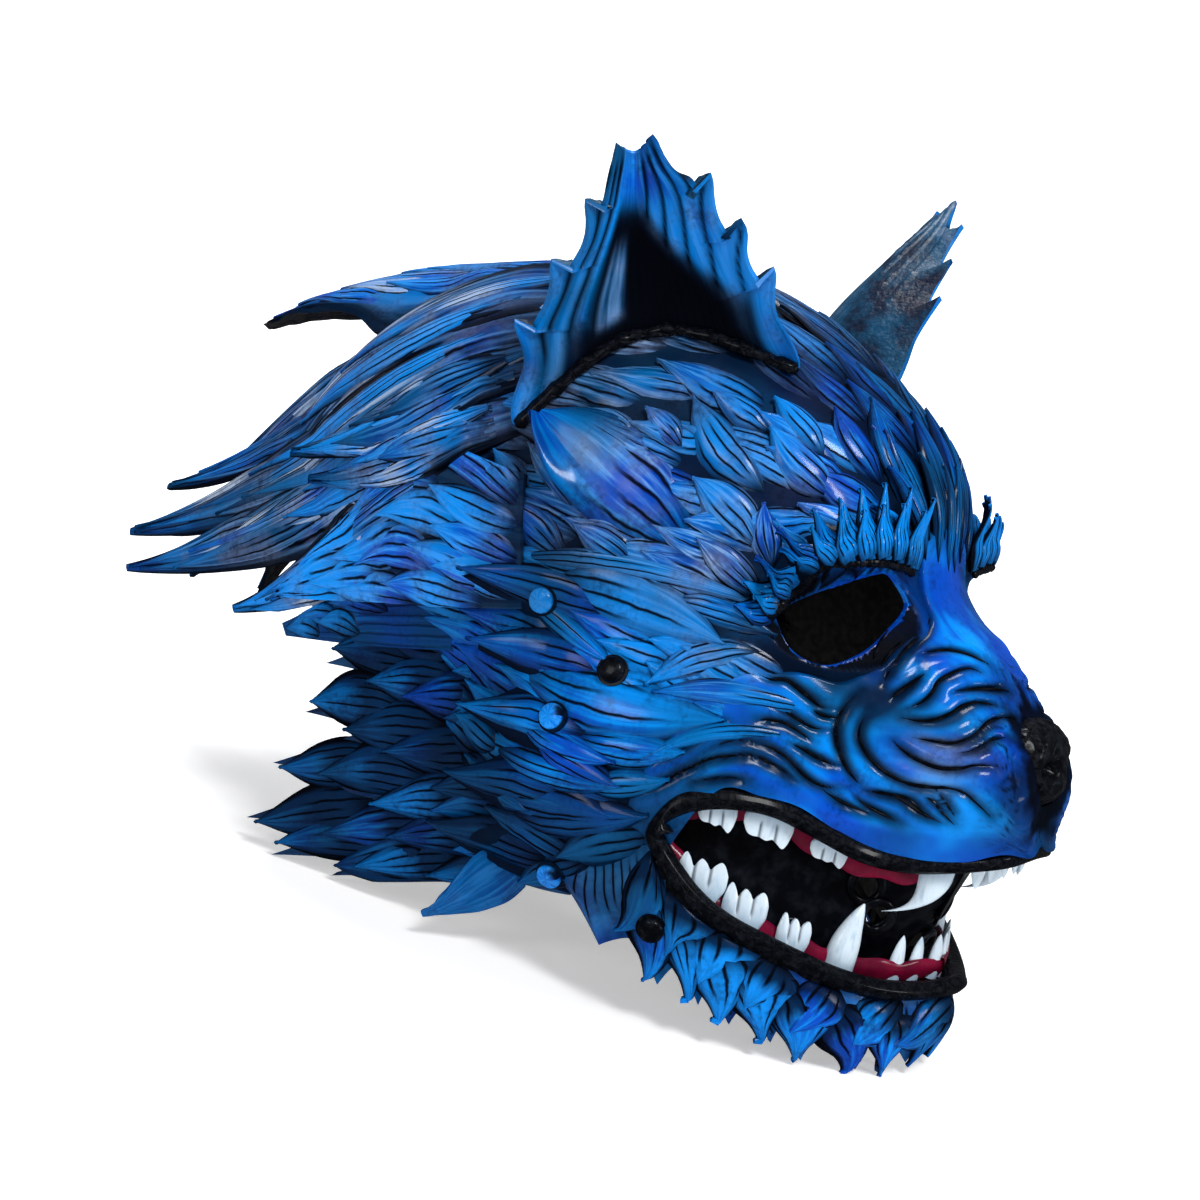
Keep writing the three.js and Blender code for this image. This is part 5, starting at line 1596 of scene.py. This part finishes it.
class WOLF_OT_mane(Maker):
    """Lay the locks of the mane, down the sides, the back and the nape"""

    bl_idname = "wolf.mane"
    bl_label = "Mane"

    def execute(self, context):
        finish = tooled_leather("mane_dye", 6, edges=0.9, roots=0.0, outline=0.7)
        for side in SIDES:
            dress_locks("mane_" + side, MANE + MANE_TOP, 11, 7, finish, "mane_upper_" + side, side, 9.5)
        dress_locks("mane_down_back", BACK, 21, 7, finish, "mane_back")
        dress_locks("mane_at_nape", NAPE, 31, 6, finish, "mane_nape")
        return {"FINISHED"}


# Leaves of the side flap: how high their rows are, and the leaves at its root. Of the low flap: roots and tips
FLAP_ROWS = (0.86, 0.58, 0.3, 0.06)
FLAP_ROOT_LEAVES = (0.12, 0.36, 0.6, 0.84)
LOW_FLAP_LEAVES = (
    [(0.74, 0.1), (0.62, 0.5), (0.5, 0.15), (0.4, 0.55)], [(0.98, 0.5), (0.9, 0.85), (0.76, 0.5), (0.68, 0.9)],
)


def flap_rows():
    """Roots and tips of the leaves on a side flap, which end over the roots of the next ones"""
    roots, tips = [], []
    for k, high in enumerate(FLAP_ROWS):
        for first in np.arange(0.74 - 0.12 * (k % 2), -0.05, -0.24):
            roots.append((first - 0.02, high - 0.08))
            tips.append((first + 0.34, high + 0.1))
    for high in FLAP_ROOT_LEAVES:
        roots.append((0.0, high))
        tips.append((0.27, high + 0.14))
    return np.clip(roots, 0.01, 0.99), np.clip(tips, 0.01, 0.99)


class WOLF_OT_flaps(Maker):
    """Cut the two flaps over each ear side and tool them with leaves"""

    bl_idname = "wolf.flaps"
    bl_label = "Flaps"

    def execute(self, context):
        finish = tooled_leather("flap_dye", context.scene.wolf_sizes.strands)
        plain = ground_leather("flap_ground_dye", 6, lines=0.5)
        u, v = grid(71, 31)
        upper, lower = carrier(SIDE_FLAP)(u, v, 0 * u - 0.3), carrier(LOW_FLAP)(u, v, 0 * u)
        low_bed = leaves(carrier(LOW_FLAP, base=-0.2), *LOW_FLAP_LEAVES, 7.5, LENS, 1.2, 0.0, 0.1)
        roots, tips = flap_rows()
        rng = np.random.default_rng(4)
        for side, turn in SIDES.items():
            # The flap under the leaves is painted dark: shade in the gaps between them
            flap = skin("side_flap_" + side, turn(upper), plain, tint=0.4, shade=0.9, worn=0.1, cut=0.5)
            fit(flap, "mane_side_" + side)
            bend = rng.uniform(-0.12, 0.12, len(roots))
            bed = leaves(carrier(SIDE_FLAP, base=-0.4), roots, tips, 10.5, TUFT, 1.6, 0.3, bend)
            fit(leaf_bed("flap_leaves_" + side, turn(bed), finish, worn=0.25))
            flap = skin("low_flap_" + side, turn(lower), plain, tint=0.2, shade=0.65, worn=0.0, cut=0)
            fit(leaf_bed("low_flap_leaves_" + side, turn(low_bed), finish, shade=0.45))
            fit(flap, "mane_lower_" + side)
        return {"FINISHED"}


# Rows of leaves of the ruff, from its edge in: where they begin and end
RUFF_ROWS = ((0.62, 0.985), (0.42, 0.8), (0.22, 0.62), (0.05, 0.42))


def ruff_bed(rng):
    """Leaves of the ruff: one in each tuft, and the rows behind it between and over them"""
    roots, tips = [], []
    for k, (first, last) in enumerate(RUFF_ROWS):
        for t in range(RUFF_TUFTS):
            high = (t + (0.5 if k % 2 == 0 else 0.95)) / RUFF_TUFTS
            if high < 1:
                roots.append((first, high - 0.02))
                tips.append((last, high))
    bow = rng.uniform(-0.06, 0.16, len(roots))
    wide = 12.5 * rng.uniform(0.8, 1.1, len(roots))
    lift = rng.uniform(0.4, 3.0, len(roots))
    return leaves(carrier(ruff_plain, base=-0.2), roots, tips, wide, TUFT, 2.2, lift, bow, bow, steps=(14, 8))


class WOLF_OT_ruff(Maker):
    """Lay the ruff behind each cheek"""

    bl_idname = "wolf.ruff"
    bl_label = "Ruff"

    def execute(self, context):
        finish = tooled_leather("ruff_dye", 7, 0.38)
        plain = ground_leather("ruff_ground_dye", 60, darker=0.45, lines=0.4)
        u, v = grid(41, 109)
        panel = carrier(ruff)(u, v, 0 * u - 0.4)
        jowl = lock_points(lock((79, -16, -94), (95, 17, -113), (0.3, 0.8, -0.5), 10, level=-GAP), 31, 11)[0]
        rng = np.random.default_rng(23)
        bed = ruff_bed(rng)
        s, _ = leaf_places(*bed.shape[1:3])
        # Darker towards each leaf's root: painted shade under the leaves that overlap it
        shade = np.clip(0.15 + 0.5 * (1 - between(s, 0.2, 0.7)) + by_chance(bed, rng, 0, 0.4), 0, 1)
        for side, turn in SIDES.items():
            ground = skin(
                "ruff_ground_" + side, turn(panel), plain, thick=1.8, tint=0.3, shade=0.55, worn=0.1, cut=0,
            )
            hook = skin("jowl_" + side, turn(jowl), plain, thick=1.8, tint=0.7, shade=0.2, worn=0.1, cut=0)
            fit(join("ruff_skin_" + side, ground, hook), "ruff_" + side)
            fit(leaf_bed("ruff_leaves_" + side, turn(bed), finish, shade=shade))
        return {"FINISHED"}


class WOLF_OT_crest(Maker):
    """Lay the crest down the middle of the head"""

    bl_idname = "wolf.crest"
    bl_label = "Crest"

    def execute(self, context):
        finish = tooled_leather("crest_dye", 6, edges=0.9, roots=0.0, outline=0.7)
        rng = np.random.default_rng(3)
        u, v = grid(121, 41)
        height = LEATHER - 0.9 + 0.7 * np.cos(2 * pi * 5 * (np.abs(2 * v - 1) + 0.1 * np.sin(7 * u)))
        points = carrier(crest, UP)(u, v, height)
        ground = skin("crest_ground", points, finish, UP, 2.0, tint=0.5, shade=0.15, worn=0.4 * (1 - u), cut=0)
        bed = hair_on(crest, 22, rng, 10.0, (0.3, 0.5))
        hair = leaf_bed("crest_hair", bed, finish, 0.8, worn=by_chance(bed, rng, 0, 1.3), shade=0.0)
        fit(join("crest_skin", ground, hair), "crest")
        return {"FINISHED"}


# Roots and tips of the tufts over an eye, from its outer end to the nose: angles from the nose and round it
BROW_ROOTS = (
    [(0, 60), (0.25, 57), (0.5, 52), (0.75, 46.5), (1, 40.5)],
    [(0, 61), (0.25, 52), (0.5, 47), (0.75, 38.5), (1, 26)],
)
BROW_TIPS = (
    [(0, 67.5), (0.25, 67), (0.5, 61), (0.75, 57), (1, 49)],
    [(0, 65.5), (0.25, 54), (0.5, 44), (0.75, 31), (1, 19)],
)
BROW_TUFTS = 10


class WOLF_OT_brow(Maker):
    """Fan the small tufts over each eye"""

    bl_idname = "wolf.brow"
    bl_label = "Brow"

    def execute(self, context):
        finish = tooled_leather("brow_dye", 5, roots=0.6)
        black = black_leather("brow_seam_leather", 400.0, 0.0006)
        t = np.linspace(0, 1, BROW_TUFTS)
        roots, tips = (np.stack([along(stops, t) for stops in ends], -1) for ends in (BROW_ROOTS, BROW_TIPS))
        long = leaves(face_carrier(4.8), roots, tips, 6.6, SPIKE, 1.0, 6.0, 0.0, 0.1)
        middle = roots[:-1] * 0.5 + roots[1:] * 0.5
        ends = middle + (tips[:-1] - roots[:-1]) * 0.66
        short = leaves(face_carrier(5.6), middle, ends, 5.6, SPIKE, 1.2, 5.0, 0.0, 0.12)
        bed = np.concatenate([long, short])
        psi, phi, _ = flat_curve(roots)(np.linspace(0, 1, 81)).T
        line = on_face(psi - 0.8, phi, 4.4)
        for side, turn in SIDES.items():
            fit(leaf_bed("brow_tufts_" + side, turn(bed), finish, 1.4, shade=0.0), "brow_" + side)
            mirror = (1 if side == "left" else -1, 1, 1)
            fit(seam("brow_seam_" + side, line * mirror, 1.5, black, 3.0), slot="black_leather")
        return {"FINISHED"}


def beard_rows():
    """Roots, tips and half widths of the leaves of the jaw: down to its tufts, and over those"""
    roots, tips, wide = [], [], []
    for side in (-1, 1):
        for k in range(BEARD_TUFTS - 1):
            t = (k + 0.5) / BEARD_TUFTS
            roots.append((0.2, 0.5 + side * (t - 0.05) / 2))
            tips.append((0.985, 0.5 + side * t / 2))
            wide.append(12.5)
        for k in range(7):
            t = (k + 0.3) / 8
            roots.append((-0.02, 0.5 + side * (t - 0.07) / 2))
            tips.append((0.66, 0.5 + side * (t + 0.08) / 2))
            wide.append(14)
    return np.array(roots), np.array(tips), np.array(wide)


class WOLF_OT_jaw(Maker):
    """Wrap the lower jaw and cover it with hooked leaves down to the beard"""

    bl_idname = "wolf.jaw"
    bl_label = "Jaw"

    def execute(self, context):
        finish = tooled_leather("beard_dye", 5, outline=0.66)
        plain = ground_leather("jaw_ground_dye", 90, darker=0.2)
        u, v = grid(41, 217)
        points = carrier(jaw, from_jaw)(u, v, 0 * u - 0.3)
        fit(skin("jaw_skin", points, plain, from_jaw, 2.2, tint=0.4, shade=0.4, worn=0.1, cut=0), "jaw")
        roots, tips, wide = beard_rows()
        bow = 0.1 * np.sign(tips[:, 1] - 0.5)
        on_jaw = carrier(jaw_plain, from_jaw, base=-0.2)
        bed = leaves(on_jaw, roots, tips, wide, HOOK, 1.5, 0.8, -bow, bow, steps=(14, 8))
        s, _ = leaf_places(*bed.shape[1:3])
        # Darker towards each leaf's root: painted shade under the leaves that overlap it
        shade = 0.7 * (1 - between(s, 0.15, 0.6)) + by_chance(bed, np.random.default_rng(17), 0, 0.3)
        fit(leaf_bed("beard_leaves", bed, finish, shade=np.clip(shade, 0, 1)))
        return {"FINISHED"}


# Breathing holes of the liner: how high, and how far along the mouth from its middle
LINER_HOLES = (
    (0.66, 0.34), (0.46, 0.265), (0.4, 0.19), (0.22, 0.41), (0.2, 0), (0.66, -0.34), (0.46, -0.265), (0.22, -0.41),
)
LINER_REACH = 0.95


def liner(u, v):
    """Places on the panel behind the teeth, from the lower lip up and from corner to corner"""
    u, v = np.broadcast_arrays(u, v)
    low, high = (in_mouth(LINER_REACH * (2 * v - 1), lower, -3, 18) for lower in (True, False))
    return low + (high - low) * u[..., None]


def from_throat(p):
    return unit(p - vec(0, -40, -100))


def drilled_panel(black):
    """The panel with its holes cut through, and a rolled rim round each"""
    u, v = grid(25, 97)
    panel = skin("liner_panel", carrier(liner, from_throat)(u, v, 2 + 0 * u), black, from_throat, 2.0)
    turn = np.linspace(0, 2 * pi, 33)[:-1, None]
    rims = []
    for high, t in LINER_HOLES:
        spot = (vec(high), vec(0.5 + t / LINER_REACH / 2))
        n, p = facing(liner, *spot, from_throat)[0], liner(*spot)[0]
        a = unit(np.cross(n, UP))
        b = np.cross(n, a)
        ring = a * np.cos(turn) + b * np.sin(turn)
        reach = p + n * vec(-8, 8)[:, None]
        drill = tube("drill", reach, np.stack([a * 4] * 2), np.stack([b * 4] * 2), black, sides=24)
        apply(panel, "BOOLEAN", object=drill, operation="DIFFERENCE", solver="EXACT", use_self=True)
        bpy.data.objects.remove(drill)
        rims.append(tube("rim", p + n * 2.2 + ring * 5.6, ring * 1.7, np.stack([n * 1.3] * 32), black, True, 10))
    return join("liner_skin", panel, *rims)


class WOLF_OT_mouth(Maker):
    """Roll the trim round the mouth, and make the gums and the liner behind them"""

    bl_idname = "wolf.mouth"
    bl_label = "Mouth"

    def execute(self, context):
        trim = tube("mouth_trim", *trim_rings(), black_leather("trim_leather", 420.0), True, 30, 0.05)
        fit(trim, "lip_trim", slot="black_leather")
        edge = in_mouth(np.linspace(-0.93, 0.93, 121), True, 0.2, 1.6)
        line = through(edge)(np.linspace(0, 1, 161))
        fit(seam("lip_welt", line, 2.1, black_leather("welt_leather", 420.0), 30.0), slot="black_leather")
        gum = gum_finish()
        t = np.linspace(-0.88, 0.88, 161)
        # A hair to one side, because the lips' ways change sides right in the middle
        near = t + 1e-4
        wave = 1 + 0.14 * np.sin(t * 60)[:, None]
        for lower, name, high in ((False, "gum_upper", 5.6), (True, "gum_lower", 4.6)):
            _, gape, _, inward = mouth_frame(near, lower)
            centre = in_mouth(near, lower, 6.4, 7.6)
            fit(tube(name + "_flesh", centre, gape * high * wave, inward * 1.8, gum), name, slot="gum")
        fit(drilled_panel(black_leather("liner_leather", 160.0, 0.00005, 0.3)), "mouth_liner", slot="liner")
        return {"FINISHED"}


# Teeth, by whether they are lower ones. Canines: outline, place along the lips, width, length, how far the tip
# swings, and how suddenly
CANINES = {
    False: ([(0, 1), (0.3, 0.92), (0.55, 0.66), (0.78, 0.34), (0.92, 0.16), (1, 0.04)], 0.245, 12.5, 25, 16, 3.4),
    True: ([(0, 1), (0.4, 0.95), (0.7, 0.62), (0.9, 0.3), (1, 0.06)], 0.27, 12, 26, -3, 2.7),
}
# Molars: the line of their cusps, then each one's place along the lips, width and height
CUSPS = {
    False: [
        (-0.5, 0.56), (-0.42, 0.84), (-0.32, 1), (-0.2, 0.9), (-0.1, 0.82), (0.02, 0.86), (0.16, 0.8), (0.32, 0.78),
        (0.42, 0.7), (0.5, 0.5),
    ],
    True: [
        (-0.5, 0.66), (-0.42, 0.84), (-0.33, 0.92), (-0.22, 0.84), (-0.14, 0.74), (-0.04, 0.86), (0.06, 0.92),
        (0.13, 0.84), (0.19, 0.74), (0.28, 0.9), (0.37, 1), (0.45, 0.88), (0.5, 0.66),
    ],
}
MOLARS = {
    False: ((0.765, 14, 13.5), (0.615, 18, 15), (0.47, 14, 11)),
    True: ((0.7, 18, 17), (0.55, 16.5, 17), (0.415, 13, 15)),
}
MOLAR_NOTCHES = (-0.15, 0.17)
INCISOR = [(0, 0.95), (0.35, 1), (0.7, 0.72), (0.9, 0.38), (1, 0.08)]
INCISORS = 6
INCISOR_ARC = 0.31


class WOLF_OT_teeth(Maker):
    """Carve the teeth: hooked canines, notched molars and small front teeth"""

    bl_idname = "wolf.teeth"
    bl_label = "Teeth"

    def execute(self, context):
        finish = tooth_finish()
        for lower, word in ((False, "upper"), (True, "lower")):
            for side, turn in (("left", 1), ("right", -1)):
                mirror = vec(turn, 1, 1)
                name = f"canine_{word}_{side}"
                fit(self.canine(name + "_carved", lower, mirror, finish), name, slot="tooth")
                for k, molar in enumerate(MOLARS[lower], 1):
                    name = f"molar_{word}_{k}_{side}"
                    fit(self.molar(name + "_carved", *molar, lower, mirror, finish), name, slot="tooth")
            fit(self.incisors(lower, word, finish), "incisors_" + word, slot="tooth")
        return {"FINISHED"}

    def canine(self, name, lower, mirror, finish):
        outline, t, wide, long, hook, sudden = CANINES[lower]
        at, grows, back, inward = tooth_seat(vec(t), lower)
        up = np.linspace(0, 1, 25)
        size = along(outline, up)[:, None]
        reach = up if lower else up * (1 - 0.12 * up**3)
        centre = at + grows * reach[:, None] * long + back * hook * (up**sudden)[:, None]
        a, b = back * mirror * size * wide / 2, inward * mirror * size * wide * 0.38
        return tube(name, centre * mirror, a, b, finish, sides=20, cut=0)

    def molar(self, name, t, wide, long, lower, mirror, finish):
        at, grows, back, inward = (q[0] for q in tooth_seat(vec(t), lower))
        u, v = grid(15, 51, -0.5, 0.5)
        high = along(CUSPS[lower], v) * long
        notch = sum(np.exp(-(((v - spot) / 0.028) ** 2)) for spot in MOLAR_NOTCHES) * between(u, 0.45, 0.65)
        belly = 2.3 * (1 - np.abs(2 * v) ** 5) ** 0.5 * (1 - 0.75 * u**2)
        across = v * wide * (0.68 + 0.32 * between(u, 0, 0.7))
        front = (at - inward * 1.8) + back * across[..., None] + grows * (u * high)[..., None]
        outer = front - inward * (belly * (1 - 0.5 * notch))[..., None]
        inner = front + inward * belly[..., None]
        points = np.concatenate([outer, inner[::-1]]) * mirror
        made = laid_grid(name, points, {"cut": np.clip(np.concatenate([notch, notch[::-1]]), 0, 1)})
        edit(made, MERGE, (bpy.ops.mesh.fill_holes, {"sides": 0}), FACE_OUT)
        made.data.materials.append(finish)
        return smooth(made)

    def incisors(self, lower, word, finish):
        up = np.linspace(0, 1, 17)
        size = along(INCISOR, up)[:, None]
        made = []
        for k in range(INCISORS):
            t = (k + 0.5) / INCISORS * INCISOR_ARC - INCISOR_ARC / 2
            at, grows, back, inward = tooth_seat(vec(t + 1e-3), lower)
            long = (17 if lower else 15) * (1.0 if k in (0, INCISORS - 1) else 0.95)
            centre, name = at + grows * up[:, None] * long, f"front_tooth_{word}_{k}"
            made.append(tube(name, centre, back * size * 3.3, inward * size * 1.8, finish, cut=0))
        return join("front_teeth_" + word, *made)


NOSE_HALF = (20, 15, 16)
NOSTRIL_AT = vec(9, -191, -60)
NOSTRIL_SIZE = (5, 6, 4)


class WOLF_OT_nose(Maker):
    """Press the crinkled nose"""

    bl_idname = "wolf.nose"
    bl_label = "Nose"

    def execute(self, context):
        made = primitive("nose_skin", bpy.ops.mesh.primitive_uv_sphere_add, segments=96, ring_count=64, radius=1)
        co = corners(made)
        p = np.sign(co) * np.abs(co) ** 0.8 * NOSE_HALF
        nostrils = (NOSTRIL_AT * (side, 1, 1) for side in (-1, 1))
        pit = sum(np.exp(-np.sum(((p + NOSE_AT - at) / NOSTRIL_SIZE) ** 2, axis=-1)) for at in nostrils)
        wrinkle = -0.9 * np.abs(speckle(p, 5, 3)) - 0.5 * np.abs(speckle(p, 2.4, 4))
        p = p + unit(p) * (wrinkle - 6.5 * pit)[:, None]
        set_points(made, lay_down(p + NOSE_AT))
        only(made)
        bpy.ops.object.shade_smooth()
        made.data.materials.append(black_leather("nose_leather", 300.0, 0.0008, 0.28))
        fit(made, "nose_pad", slot="black_leather")
        return {"FINISHED"}


# Rivets 1 to 4 of the cheek, as angles from the nose and round it; the fifth is on the jaw
CHEEK_RIVETS = ((110.8, 75), (91.3, 87), (100.2, 99.5), (95.5, 129))
JAW_RIVET = (vec(0.6), vec(0.9))
BLACK_RIVETS = (2, 5)
RIVET_SIZE = 4.6
# A rivet from its root up: height and half size, and black up to its head's edge
RIVET_SHAPE = [
    (-3.0, 0.0), (-3.0, 1.2), (0.9, 1.22), (1.0, 1.02), (2.2, 1.0), (3.1, 0.9), (3.6, 0.62), (3.75, 0.3),
    (3.8, 0.02),
]
HEAD_EDGE = 2


class WOLF_OT_rivets(Maker):
    """Set the rivets through the cheeks and the jaw"""

    bl_idname = "wolf.rivets"
    bl_label = "Rivets"

    def execute(self, context):
        blue = ground_leather("rivet_dye", 0.5)
        black = black_leather("rivet_black", 300.0, 0.0002)
        high, size = np.array(RIVET_SHAPE).T[..., None]
        cut = np.concatenate([high[:1], high, high[-1:]]) < HEAD_EDGE
        seats = [on_face(vec(psi), vec(phi), LEATHER / 2)[0] for psi, phi in CHEEK_RIVETS]
        seats = [(p, outward(p)) for p in seats]
        n = facing(jaw, *JAW_RIVET, from_jaw)[0]
        seats.append((jaw(*JAW_RIVET)[0] - n * LEATHER / 2, n))
        for k, (p, n) in enumerate(seats, 1):
            p = p + n * LEATHER
            a = unit(np.cross(n, UP))
            b = np.cross(n, a)
            dark = k in BLACK_RIVETS
            for side, turn in (("left", 1), ("right", -1)):
                rings = (q * (turn, 1, 1) for q in (p + n * high, a * RIVET_SIZE * size, b * RIVET_SIZE * size))
                name = f"rivet_{k}_{side}"
                finish, slot = (black, "black_rivet") if dark else (blue, "blue_rivet")
                head = tube(name + "_head", *rings, finish, sides=28, tint=0.9, shade=0.0, worn=0.2, cut=cut)
                fit(head, name, slot=slot)
        return {"FINISHED"}


MAKERS = (
    WOLF_OT_stage, WOLF_OT_face, WOLF_OT_crown, WOLF_OT_ears, WOLF_OT_mane, WOLF_OT_flaps, WOLF_OT_ruff,
    WOLF_OT_crest, WOLF_OT_brow, WOLF_OT_jaw, WOLF_OT_mouth, WOLF_OT_teeth, WOLF_OT_nose, WOLF_OT_rivets,
)


class WOLF_PT_panel(bpy.types.Panel):
    """The mask's pieces, in the order that they are made"""

    bl_idname = "WOLF_PT_panel"
    bl_label = "Leather Wolf Mask"
    bl_space_type = "VIEW_3D"
    bl_region_type = "UI"
    bl_category = "Wolf Mask"

    def draw(self, context):
        for group in (context.scene.wolf_sizes, context.scene.wolf_dyes):
            for key in group.__annotations__:
                self.layout.prop(group, key)
        for maker in MAKERS:
            self.layout.operator(maker.bl_idname)


CLASSES = (WolfDyes, WolfSizes, *MAKERS, WOLF_PT_panel)


def register():
    for made in CLASSES:
        bpy.utils.register_class(made)
    bpy.types.Scene.wolf_dyes = bpy.props.PointerProperty(type=WolfDyes)
    bpy.types.Scene.wolf_sizes = bpy.props.PointerProperty(type=WolfSizes)


def unregister():
    del bpy.types.Scene.wolf_sizes
    del bpy.types.Scene.wolf_dyes
    for made in reversed(CLASSES):
        bpy.utils.unregister_class(made)


def main():
    register()
    for maker in MAKERS:
        group, name = maker.bl_idname.split(".")
        getattr(getattr(bpy.ops, group), name)()
    boxes = {"frame": FRAME_BOX, "scene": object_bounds()}
    {key: [[float(n) for n in corner] for corner in box] for key, box in boxes.items()}


if __name__ == "__main__":
    main()
